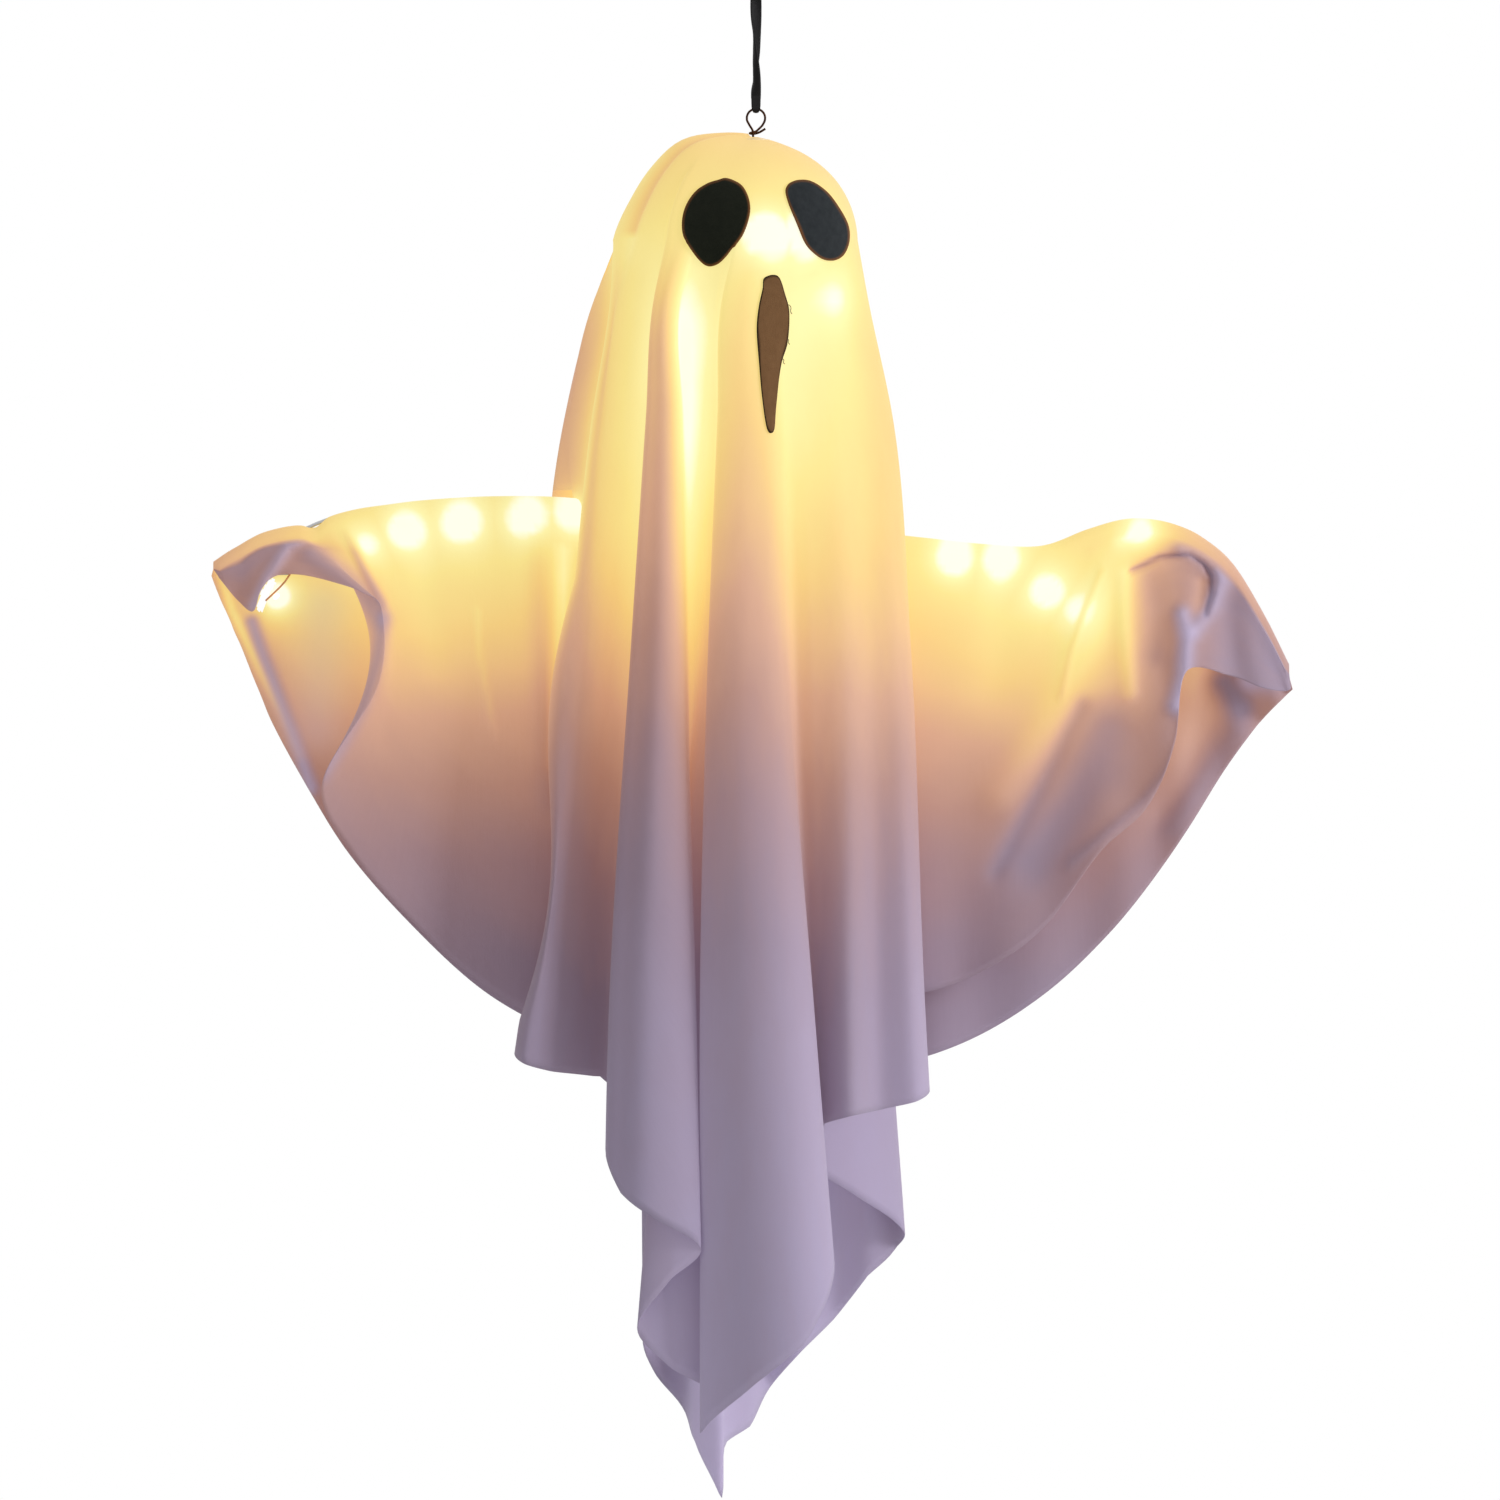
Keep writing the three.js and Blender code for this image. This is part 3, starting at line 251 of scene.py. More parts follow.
def cloth_finish():
    """Thin white polyester with painted light: a painted lavender shade where no lamp light reaches it,
    a painted warm glow where the lamps shine through, and painted daylight where it shows through.
    """
    finish = Finish("ghost_cloth")
    flat = finish.place(of="UV")
    glow = finish.attribute("glow")
    glow_mottle = finish.noise(flat, 26, 4)
    # The painted lamp glow, made a little uneven
    lit = glow + (glow_mottle - 0.5) * 0.05
    threads = weave(finish, flat, THREAD)
    slubs = finish.noise(finish.place((1, 0.04, 1), of="UV"), 900, 2)
    # Base colour painted lighter and warmer where the painted glow is strong, in lavender shade where it is
    # weak
    base = finish.ramp(lit, PAINTED_LIGHT_CLOTH_TINTS)
    fine = 0.96 + (threads - 0.5) * 0.05 + (slubs - 0.5) * 0.05
    shaded = finish.add("ShaderNodeVectorMath", {"operation": "SCALE"}, {0: base, "Scale": fine})
    # Painted glow as emission: lamp light, turning to painted daylight where the cloth is marked for it
    light = finish.mix(finish.attribute("pale"), finish.ramp(lit, GLOW_TINTS), DAYLIGHT)
    height = threads * 0.6 + slubs * 0.4
    return finish.done(
        base_color=shaded,
        roughness=0.86,
        sheen_weight=0.15,
        sheen_roughness=0.5,
        emission_color=light,
        emission_strength=1,
        normal=finish.bump(height, 0.00012, 0.5),
    )


# The default rim colour is a painted glow of lamp light through the edge of the eye felt
def felt_finish(name, dark, light, rim=(0.2, 0.08, 0.025), rim_width=0.0019):
    """Pressed felt: matted fibres, paler wear, and a rim colour along the edge: on the eyes a painted glow
    where the lamp light shows through the felt, on the mouth a darker outline.
    """
    finish = Finish(name)
    where = finish.place()
    fibres = finish.noise(where, 1900, 5, 0.7)
    clumps = finish.noise(where, 240, 3)
    edge = finish.attribute("edge")
    body = finish.mix(clumps * 0.6 + fibres * 0.4, dark, light)
    outline = 1 - finish.between(edge + (fibres - 0.5) * 0.0008, 0, rim_width)
    colour = finish.mix(outline, body, rim)
    height = fibres * 0.7 + clumps * 0.3
    return finish.done(
        base_color=colour,
        roughness=0.95,
        specular_ior_level=0.12,
        sheen_weight=0.03,
        sheen_roughness=0.6,
        normal=finish.bump(height, 0.0006, 0.8),
    )


def satin_finish():
    """Black satin ribbon: fine ribs along it, woven edges, a soft gloss."""
    finish = Finish("black_satin")
    flat = finish.place(of="UV")
    ribs = finish.wave(flat, wave_scale(SATIN_RIB), "X", 0.3)
    cross = finish.noise(finish.place((0.2, 1, 1), of="UV"), 2600, 2)
    tone = finish.mix(ribs * 0.5 + cross * 0.5, (0.0015, 0.0012, 0.0015), (0.007, 0.006, 0.007))
    return finish.done(
        base_color=tone,
        roughness=0.42 + cross * 0.16,
        specular_ior_level=0.16,
        sheen_weight=0.02,
        sheen_roughness=0.3,
        normal=finish.bump(ribs * 0.6 + cross * 0.4, 0.00008, 0.6),
    )


def metal_finish(name, dark, light, roughness):
    """Drawn or pressed metal with a fine grain and duller patches."""
    finish = Finish(name)
    scratches = finish.noise(finish.place((1, 1, 0.08)), 2200, 3)
    patches = finish.noise(finish.place(), 160, 3)
    return finish.done(
        base_color=finish.mix(patches, dark, light),
        metallic=1,
        roughness=roughness + scratches * 0.15 + patches * 0.1,
        normal=finish.bump(scratches, 0.00003, 0.4),
    )


def plastic_finish(name, dark, light, roughness):
    """Moulded plastic with a spark-eroded texture and slight scuffs."""
    finish = Finish(name)
    where = finish.place()
    texture = finish.noise(where, 2600, 2)
    scuffs = finish.noise(where, 90, 5, 0.7)
    return finish.done(
        base_color=finish.mix(scuffs, dark, light),
        roughness=roughness + (scuffs - 0.5) * 0.2,
        normal=finish.bump(texture, 0.00005, 0.5),
    )


def foam_finish():
    """Pressed foam: round beads welded together, with dark seams between them, and a painted warm glow
    that stands in for the lamp light falling on it inside the cloth.
    """
    finish = Finish("pressed_foam")
    settings = {"feature": "DISTANCE_TO_EDGE"}
    inputs = {"Vector": finish.place(), "Scale": 330}
    beads = finish.add("ShaderNodeTexVoronoi", settings, inputs, output="Distance")
    seam = finish.between(beads, 0, 0.12)
    return finish.done(
        base_color=finish.mix(seam, (0.62, 0.56, 0.45), (0.86, 0.83, 0.76)),
        roughness=0.85,
        # Painted glow of the lamps' light on the foam
        emission_color=(0.5, 0.33, 0.12),
        emission_strength=0.35,
        normal=finish.bump(seam, 0.0004, 0.7),
    )


def glue_finish():
    """Hot-melt glue, cloudy and smooth."""
    finish = Finish("clear_glue")
    cloud = finish.noise(finish.place(), 300, 3)
    return finish.done(
        base_color=finish.mix(cloud, (0.7, 0.64, 0.5), (0.84, 0.8, 0.7)),
        roughness=0.3 + cloud * 0.15,
        coat_weight=0.3,
        normal=finish.bump(cloud, 0.0004, 0.4),
    )


def tape_finish():
    """Wound cloth tape: its weave, and the step at each turn."""
    finish = Finish("cloth_tape")
    where = finish.place()
    threads = weave(finish, where, TAPE_THREAD)
    turns = finish.wave(where, wave_scale(TAPE_TURN), "Z", 0.4, "SAW")
    dirt = finish.noise(where, 120, 4)
    return finish.done(
        base_color=finish.mix(dirt, (0.62, 0.58, 0.5), (0.8, 0.77, 0.7)),
        roughness=0.85,
        normal=finish.bump(threads * 0.3 + turns * 0.7, 0.0003, 0.7),
    )


def lamp_finish():
    """A clear resin drop round a lit chip."""
    finish = Finish("lit_resin")
    swirl = finish.noise(finish.place(), 700, 2)
    return finish.done(
        base_color=finish.mix(swirl, (0.9, 0.8, 0.5), (1, 0.92, 0.7)),
        roughness=0.12 + swirl * 0.1,
        coat_weight=0.8,
        emission_color=finish.mix(swirl, (1, 0.72, 0.28), (1, 0.86, 0.5)),
        emission_strength=4,
    )


FINISHES = {
    "ribbon": satin_finish(),
    "bronze_wire": metal_finish("bronze_wire", (0.012, 0.005, 0.003), (0.07, 0.028, 0.015), 0.3),
    "foam": foam_finish(),
    "glue": glue_finish(),
    "steel": metal_finish("galvanised_steel", (0.36, 0.36, 0.37), (0.62, 0.62, 0.63), 0.28),
    "binding_tape": tape_finish(),
    "ghost_cloth": cloth_finish(),
    "eye_felt": felt_finish("left_eye_felt", (0.004, 0.006, 0.003), (0.018, 0.02, 0.012)),
    "right_eye_felt": felt_finish("right_eye_felt", (0.008, 0.01, 0.013), (0.04, 0.046, 0.05)),
    "mouth_felt": felt_finish(
        "mouth_felt", (0.13, 0.062, 0.024), (0.22, 0.115, 0.05), (0.022, 0.009, 0.004), 0.0017
    ),
    "copper_wire": metal_finish("copper_wire", (0.45, 0.2, 0.09), (0.78, 0.42, 0.22), 0.22),
    "lamp": lamp_finish(),
    "case_plastic": plastic_finish(
        "white_case_plastic", (0.66, 0.64, 0.6), (0.8, 0.79, 0.76), 0.42
    ),
    "dark_plastic": plastic_finish(
        "dark_plastic", (0.012, 0.012, 0.013), (0.03, 0.03, 0.032), 0.38
    ),
}


# Mesh helpers

def make_piece(name, bm, body, slot, finish=None, replaces=()):
    """Make a mesh, with its faces turned outwards, a piece that rides on a body."""
    bmesh.ops.recalc_face_normals(bm, faces=bm.faces)
    mesh = bpy.data.meshes.new(name)
    bm.to_mesh(mesh)
    bm.free()
    mesh.shade_smooth()
    mesh.materials.append(FINISHES[finish or slot])
    piece = add_object(name, mesh)
    if replaces:
        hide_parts(*replaces)
    if body:
        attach(piece, body)
    return piece


def thicken(piece, thick):
    shell = piece.modifiers.new("thickness", "SOLIDIFY")
    shell.thickness = thick * MM
    shell.offset = 0
    return piece


def spline(values, place):
    """Catmull-Rom through numbers or vectors, one apart; place runs from 0 to the last."""
    last = len(values) - 1
    k = min(int(place), last - 1)
    t = place - k
    b, c = values[k], values[k + 1]
    a = values[k - 1] if k else b * 2 - c
    d = values[k + 2] if k + 2 <= last else c * 2 - b
    even = b * 2 + (c - a) * t + (a * 2 - b * 5 + c * 4 - d) * (t * t)
    return (even + (b * 3 - a - c * 3 + d) * (t * t * t)) * 0.5


def mix(a, b, share):
    return a + (b - a) * share


def eased(low, high, value):
    t = min(max((value - low) / (high - low), 0), 1)
    return t * t * (3 - 2 * t)


def along(rows, share):
    """The spline through rows of numbers, at a share of the way along them."""
    return spline([Vector(row) for row in rows], share * (len(rows) - 1))


def flat_grid(columns, rows, flat, *layers):
    """A square grid, with layers for numbers at its vertices, and each vertex's (u, w) on it.
    flat gives the UV in mm."""
    bm = bmesh.new()
    bmesh.ops.create_grid(bm, x_segments=columns, y_segments=rows, size=0.5)
    uv = bm.loops.layers.uv.new("flat")
    for layer in layers:
        bm.verts.layers.float.new(layer)
    spots = {vert: (vert.co.x + 0.5, vert.co.y + 0.5) for vert in bm.verts}
    for face in bm.faces:
        for loop in face.loops:
            loop[uv].uv = [value * MM for value in flat(*spots[loop.vert])]
    return bm, spots


def cloth_piece(columns, rows, place, flat, cut=None):
    """A sheet from a flat grid. At each (u, w) place gives its point in mm, how much of the
    painted lamp glow it shows, and how much painted daylight shows through it."""
    bm, spots = flat_grid(columns, rows, flat, "glow", "pale")
    glow, pale = bm.verts.layers.float.values()
    if cut:
        middles = [(face, face.calc_center_median()) for face in bm.faces]
        holes = [face for face, middle in middles if cut(middle.x + 0.5, middle.y + 0.5)]
        bmesh.ops.delete(bm, geom=holes, context="FACES")
    for vert, (u, w) in spots.items():
        if vert.is_valid:
            point, share, vert[pale] = place(u, w)
            vert.co = point * MM
            # Painted lamp glow at the vertex, less where a fold or crease is painted in shade
            vert[glow] = min(1, glow_at(vert.co) * share)
    bmesh.ops.remove_doubles(bm, verts=bm.verts, dist=1e-7)
    return bm


# Light that the cloth takes from the lamps, painted into its colour and glow

LAMPS = []
for limb, count in {"head": 6, "spine": 3, "left": 6, "right": 5}.items():
    for lamp_number in range(1, count + 1):
        low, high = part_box(f"led_{limb}_{lamp_number}")
        LAMPS.append((low + high) / 2)

# Reach and strength of each lamp's wide painted glow and of its painted bright spot
SPREAD = 0.09
WIDE_GLOW = 0.27
SPOT = 0.0125
SPOT_GLOW = 0.8


def glow_at(point):
    """How brightly the lamps' light is painted on the cloth at a point: a wide painted glow and a small
    painted bright spot from each lamp.
    """
    wide = 0
    near = 0
    for lamp in LAMPS:
        away = (point - lamp).length_squared
        wide += 1 / (1 + away / SPREAD ** 2) ** 1.5
        near = max(near, 1 / (1 + away / SPOT ** 2) ** 2)
    return 1 - math.exp(-WIDE_GLOW * wide) + near * SPOT_GLOW


# Shroud: fold lines leave the crown, run over the head and hang to their own hem.
# A fold is its bearing on the head, hem, tone and daylight, then (x, y) at each level below the ball.
# The bearing is 0 in front and + to the viewer's right; tone is the share of the painted lamp glow
# that shows, below 1 a painted shade on the fold and above 1 more painted glow, and daylight how much
# painted daylight shows through near the hem.

SPINE_X = -1.5
BALL_LEVEL = -153.4
BALL_RADIUS = 50
CLOTH_THICK = 0.4
CROWN_HOLE = 2.4
SLIT_DROP = 130
HALF_ROUND = 84

# Reach of the cloth from the ball's middle, from the crown to the rim, and more on the left
HEAD_REACH = [53.6, 51.9, 52, 52.9, 53.6, 54.2]
LEFT_REACH = [1, 6.5, 11.8, 12, 13.5, 18.5]

# Crease down the left of the head: bearing, half width, depth and painted shade
HEAD_CREASE = -70
CREASE_WIDTH = 5
CREASE_DEPTH = 3.2
CREASE_SHADE = 0.22

# First deep pleat: bearing, step, width of the step, width of the whole, and where it starts
PLEAT_START = -46.5
PLEAT_STEP = 2.6
PLEAT_EDGE = 1.6
PLEAT_WIDTH = 9
PLEAT_ANGLES = (0.72, 1.3)

# Levels between which the folds' own painted shade (tone) and painted daylight set in
TONE_LEVELS = (-138, -220)
DAYLIGHT_LEVELS = (-340, -600)

LEVELS = [BALL_LEVEL, -184.6, -247, -366.6, -548.6, -668.2]
FRONT_FOLDS = [
    (-104, -569.4, 0.63, 0, -84.2, 8, -97, 7, -82, -5, -98, -6, -104, -4),
    (-97, -571, 0.75, 0, -78.5, -3, -90, -4, -84, -16, -104, -20, -116, -22),
    (-90, -574, 1, 0, -71, -13, -82, -17, -93.5, -29, -117, -34, -133, -36),
    (-85, -575.7, 1.05, 0, -75.4, -20, -85, -26, -97.2, -35, -120.9, -41, -138.8, -44),
    (-78, -580.9, 0.8, 0, -73, -26, -81.4, -32, -93.6, -42, -115.4, -51, -131.7, -54),
    (-67, -585, 0.95, 0, -69.7, -33, -77, -36, -84.2, -40, -102.4, -43, -111.5, -45),
    (-57, -587.6, 1.05, 0, -60.3, -38, -66.6, -37, -72.3, -32, -83.7, -30, -86.1, -29),
    (-50, -588.2, 1.12, 0, -52, -42, -56.2, -39, -62.4, -34, -74.4, -32, -77.2, -31),
    (-44, -627.7, 0.7, 0, -52.5, -49, -56.7, -53, -64.5, -56, -75.5, -58, -78.3, -60),
    (-41, -647.4, 0.68, 0, -49.9, -52, -53, -57, -58.8, -62, -67.6, -66, -70, -68),
    (-37, -658.4, 0.68, 0, -45.8, -54, -46.8, -59, -48.9, -66, -54.3, -71, -55.1, -73),
    (-33, -675.5, 1.1, 0.3, -40, -51, -39.5, -55, -37.4, -58, -31.6, -63, -28.8, -67),
    (-28, -692.2, 1.35, 0.32, -37.4, -46, -36.4, -43, -34.3, -40, -39.5, -50, -43.7, -62),
    (-20, -717.1, 1.2, 0.1, -28.1, -46, -28.1, -42, -29.6, -37, -47.3, -42, -57.2, -54),
    (-14, -738, 1.1, 0.3, -20.8, -49, -22.4, -46, -26, -43, -40, -46, -42.6, -50),
    (-10, -752, 1.1, 0.1, -16.8, -51, -18.4, -50, -21, -48, -23, -49, -22, -50),
    (-7, -772.2, 0.95, 0.25, -16.6, -57, -19.2, -60, -24.2, -64, -28.4, -66, -28.4, -64),
    (3, -746.2, 0.85, 0, -6.2, -59, -7.3, -64, -9.4, -71, -6.6, -76, -3.4, -76),
    (13, -724.4, 0.92, 0.24, 2.1, -57, 4.7, -61, 6.2, -67, 15.9, -73, 22.3, -76),
    (22, -688, 1.05, 0.38, 9.9, -53, 12, -55, 14.6, -57, 29.1, -59, 38.7, -61),
    (29, -660.4, 1.1, 0, 16.1, -49, 17.2, -49, 19.8, -46, 27.6, -41, 34.7, -38),
    (38, -612.1, 1.1, 0, 23.9, -44, 26, -46, 30.2, -48, 33.8, -42, 36.2, -38),
    (50, -607.9, 1.05, 0.15, 35.4, -37, 40, -42, 45.8, -50, 48.2, -51, 49.8, -50),
    (62, -604.8, 1.02, 0.3, 45.2, -27, 52, -33, 59.3, -41, 63.1, -40, 66.3, -39),
    (74, -600.6, 0.92, 0.42, 53, -16, 64, -24, 73.3, -36, 80.3, -42, 85.8, -44),
    (86, -595.4, 0.92, 0.42, 58.2, -4, 71, -12, 80.1, -23, 87.3, -30, 94.1, -32),
    (98, -594.4, 1, 0, 54.1, 9, 66.6, 3, 78, -7, 83.5, -12, 89.9, -13),
]
BACK_FOLDS = [
    (104, -592.8, 1, 0, 53, 16, 66, 13, 77.5, 9, 77.5, 7, 77.5, 4),
    (112, -599.6, 1, 0, 48.9, 26, 60.3, 24, 69.7, 19, 59.3, 13, 48.9, 8),
    (119, -613.1, 1, 0, 43.7, 34, 53, 34, 58.2, 29, 30.7, 18, 20.8, 12),
    (125, -630.8, 0.9, 0.3, 42.6, 38, 53, 41, 60.3, 38, 30.7, 23, 19.8, 16),
    (132, -652.6, 0.9, 0.45, 46.8, 41, 58.2, 47, 69.7, 50, 55.1, 38, 54.1, 28),
    (140, -669.3, 0.9, 0.3, 48.9, 39, 61.4, 48, 74.4, 57, 69.7, 50, 76.4, 43),
    (148, -678.6, 1, 0.1, 37.4, 47, 47.8, 55, 61.4, 62, 64.5, 60, 72.8, 54),
    (157, -693.7, 1, 0.35, 23.9, 52, 31.2, 57, 42.6, 58, 57.2, 54, 58.2, 52),
    (166, -716.1, 0.9, 0.45, 13.5, 55, 18.7, 62, 29.1, 67, 40.6, 65, 41.1, 61),
    (176, -734.8, 1, 0.45, 4.2, 56, 6.8, 59, 15.1, 60, 23.9, 58, 22.9, 55),
    (185, -753.5, 0.9, 0.5, -4.2, 57, -3.1, 63, 2.1, 69, 8.3, 69, 7.3, 65),
    (191, -772.2, 1, 0.5, -9.4, 56, -9.4, 60, -6.2, 62, -2.1, 59, -2.6, 54),
    (197, -780.6, 1, 0.6, -15.1, 55, -15.6, 59, -14, 60, -14, 55, -15.1, 45),
    (202, -809.7, 0.9, 0.7, -20.8, 54, -22.9, 60, -21.8, 66, -19.2, 61, -18.7, 40),
    (209, -779.5, 1, 0.6, -28.6, 50, -31.7, 54, -31.7, 56, -29.6, 52, -30.7, 41),
    (217, -762.9, 0.9, 0.2, -35.4, 44, -39.5, 50, -42.6, 56, -38, 57, -38, 52),
    (225, -744.2, 0.9, 0, -42.1, 38, -48.4, 44, -53.6, 50, -52, 51, -52.5, 47),
    (231, -724.4, 0.9, 0, -45.8, 32, -53.6, 38, -60.8, 44, -60.3, 42, -59.3, 37),
    (238, -657.8, 1, 0, -49.9, 28, -58.2, 32, -63.4, 31, -54.1, 25, -48.9, 21),
    (246, -604.8, 1, 0, -61.4, 22, -71.8, 26, -78, 25, -68.6, 18, -59.3, 13),
    (254, -578.8, 0.8, 0, -78.9, 14, -91.3, 18, -97.4, 20, -93.4, 15, -84.2, 10),
    (260, -569.4, 0.62, 0, -84, 10, -99.8, 12, -112.3, 14, -108.9, 11, -110.1, 9),
]
FRONT_COLUMNS = 220
BACK_COLUMNS = 120
SIDE_COLUMNS = 4
SHROUD_COLUMNS = FRONT_COLUMNS + BACK_COLUMNS + 2 * SIDE_COLUMNS
SHROUD_ROWS = 120
DOME_SHARE = 0.2

# The front drape's left edge hangs plumb beside the wing, then kicks out to its hem
PLUMB_LEVEL = -444
PLUMB_REACH = 115
PLUMB_SHIFT = 6.5
PLUMB_BEARINGS = (-70, -86)

Line = collections.namedtuple("Line", "bearing spots slopes hem tone pale")


def head_crease(bearing, angle):
    """1 along the fold that runs down the left of the head."""
    return math.exp(-((bearing - HEAD_CREASE) / CREASE_WIDTH) ** 2) * math.sin(angle)


def head_pleat(bearing, angle):
    """Step of the first deep pleat, which starts low on the head."""
    away = bearing - PLEAT_START
    fade = math.exp(-(away / PLEAT_WIDTH) ** 2) * eased(*PLEAT_ANGLES, angle)
    return PLEAT_STEP * math.tanh(away / PLEAT_EDGE) * fade


def dome_spot(bearing, angle):
    """A point of the cloth on the head, at an angle down from the crown, from the ball's middle."""
    turn = math.radians(bearing)
    ring = angle / (math.pi / 2) * (len(HEAD_REACH) - 1)
    leftness = max(0, -math.sin(turn)) ** 3
    reach = spline(HEAD_REACH, ring) + leftness * spline(LEFT_REACH, ring)
    reach += head_pleat(bearing, angle) - CREASE_DEPTH * head_crease(bearing, angle)
    out = reach * math.sin(angle)
    return Vector((out * math.sin(turn), -out * math.cos(turn), reach * math.cos(angle)))


def make_line(bearing, spots, hem, tone, pale):
    """A line with its slope at each level, weighted by how near the next levels are."""
    steps = [b - a for a, b in zip(LEVELS, LEVELS[1:])]
    rises = [(b - a) / step for a, b, step in zip(spots, spots[1:], steps)]
    inner = [
        (one * h2 + two * h1) / (h1 + h2)
        for one, two, h1, h2 in zip(rises, rises[1:], steps, steps[1:])
    ]
    return Line(bearing, spots, [rises[0], *inner, rises[-1]], hem, tone, pale)


def fold_line(folds, share):
    """The line at a share of the way along a table; hems run straight from fold to fold."""
    values = [Vector(row) for row in folds]
    place = share * (len(values) - 1)
    bearing, _, tone, pale, *flat = spline(values, place)
    k = min(int(place), len(values) - 2)
    hem = mix(values[k][1], values[k + 1][1], place - k)
    rim = dome_spot(bearing, math.pi / 2).xy + Vector((SPINE_X, 0))
    spots = [rim] + [Vector(flat[n:n + 2]) for n in range(0, len(flat), 2)]
    return make_line(bearing, spots, hem, tone, max(pale, 0))


def bridge(one, other, share):
    """A line between two others."""
    spots = [mix(a, b, share) for a, b in zip(one.spots, other.spots)]
    numbers = [mix(a, b, share) for a, b in zip(one, other) if not isinstance(a, list)]
    return make_line(numbers[0], spots, *numbers[1:])


@functools.cache
def shroud_line(u):
    """The fold line at a share of the way round: front, right side, back, left side."""
    column = u * SHROUD_COLUMNS
    if column <= FRONT_COLUMNS:
        return fold_line(FRONT_FOLDS, column / FRONT_COLUMNS)
    column -= FRONT_COLUMNS
    if column < SIDE_COLUMNS:
        return bridge(fold_line(FRONT_FOLDS, 1), fold_line(BACK_FOLDS, 0), column / SIDE_COLUMNS)
    column -= SIDE_COLUMNS
    if column <= BACK_COLUMNS:
        return fold_line(BACK_FOLDS, column / BACK_COLUMNS)
    start = fold_line(FRONT_FOLDS, 0)
    start = start._replace(bearing=start.bearing + 360)
    return bridge(fold_line(BACK_FOLDS, 1), start, (column - BACK_COLUMNS) / SIDE_COLUMNS)


def plumb_shift(line, level):
    """How far to the right the left edge of the front drape moves at a level."""
    away = (level - PLUMB_LEVEL) / PLUMB_REACH
    if abs(away) > 1:
        return 0
    return -PLUMB_SHIFT * math.sin(math.pi * away) * eased(*PLUMB_BEARINGS, line.bearing)


def fold_point(line, level):
    """The line's point at a level, and straight on below the last level."""
    k = sum(level < edge for edge in LEVELS[1:-1])
    height = LEVELS[k + 1] - LEVELS[k]
    t = (level - LEVELS[k]) / height
    a, b = line.spots[k:k + 2]
    if t > 1:
        x, y = b + line.slopes[-1] * (level - LEVELS[-1])
        return Vector((x, y, level))
    leave, arrive = [slope * height for slope in line.slopes[k:k + 2]]
    spot = a * ((1 + 2 * t) * (1 - t) ** 2) + b * (t * t * (3 - 2 * t))
    x, y = spot + leave * (t * (1 - t) ** 2) - arrive * (t * t * (1 - t))
    return Vector((x + plumb_shift(line, level), y, level))


def row_place(w, line):
    """Rows over the head, then down to the hem: (angle, None) or (None, level)."""
    if w < DOME_SHARE:
        start = CROWN_HOLE / HEAD_REACH[0]
        return mix(start, math.pi / 2, w / DOME_SHARE), None
    return None, mix(BALL_LEVEL, line.hem, (w - DOME_SHARE) / (1 - DOME_SHARE))


def shroud_spot(u, w):
    """A point of the shroud, its share of the painted lamp glow and its painted daylight."""
    line = shroud_line(u)
    angle, level = row_place(w, line)
    if angle is None:
        tone = mix(1, line.tone, eased(*TONE_LEVELS, level))
        return fold_point(line, level), tone, line.pale * eased(*DAYLIGHT_LEVELS, level)
    level = BALL_LEVEL + HEAD_REACH[0] * math.cos(angle)
    tone = mix(1, line.tone, eased(*TONE_LEVELS, level))
    # Painted shade along the crease down the left of the head
    tone -= CREASE_SHADE * head_crease(line.bearing, angle)
    return dome_spot(line.bearing, angle) + Vector((SPINE_X, 0, BALL_LEVEL)), tone, 0


def shroud_flat(u, w):
    line = shroud_line(u)
    angle, level = row_place(w, line)
    length = HEAD_REACH[-1] * angle if angle is not None else HALF_ROUND + BALL_LEVEL - level
    turn = math.radians(line.bearing)
    return length * math.sin(turn), -length * math.cos(turn)


def beside_slit(u, w):
    """True in the cells between front and back below the shoulders, where the arms go out."""
    column = u * SHROUD_COLUMNS
    right = FRONT_COLUMNS < column < FRONT_COLUMNS + SIDE_COLUMNS
    left = column > SHROUD_COLUMNS - SIDE_COLUMNS
    if not (right or left):
        return False
    _, level = row_place(w, shroud_line(u))
    return level is not None and level < BALL_LEVEL - SLIT_DROP


def build_shroud():
    bm = cloth_piece(SHROUD_COLUMNS, SHROUD_ROWS, shroud_spot, shroud_flat, beside_slit)
    piece = make_piece("shroud_cloth", bm, "ghost", "ghost_cloth", replaces=["shroud"])
    return thicken(piece, CLOTH_THICK)


# Wings: a station is a place on the crest over the arm (x, z), the hem in front (x, z, y) and at
# the back (x, z, y), the bow that draws the front cloth towards the body, and the share of the
# painted lamp glow that the front layer shows, lower where it is painted in shade towards the hand.

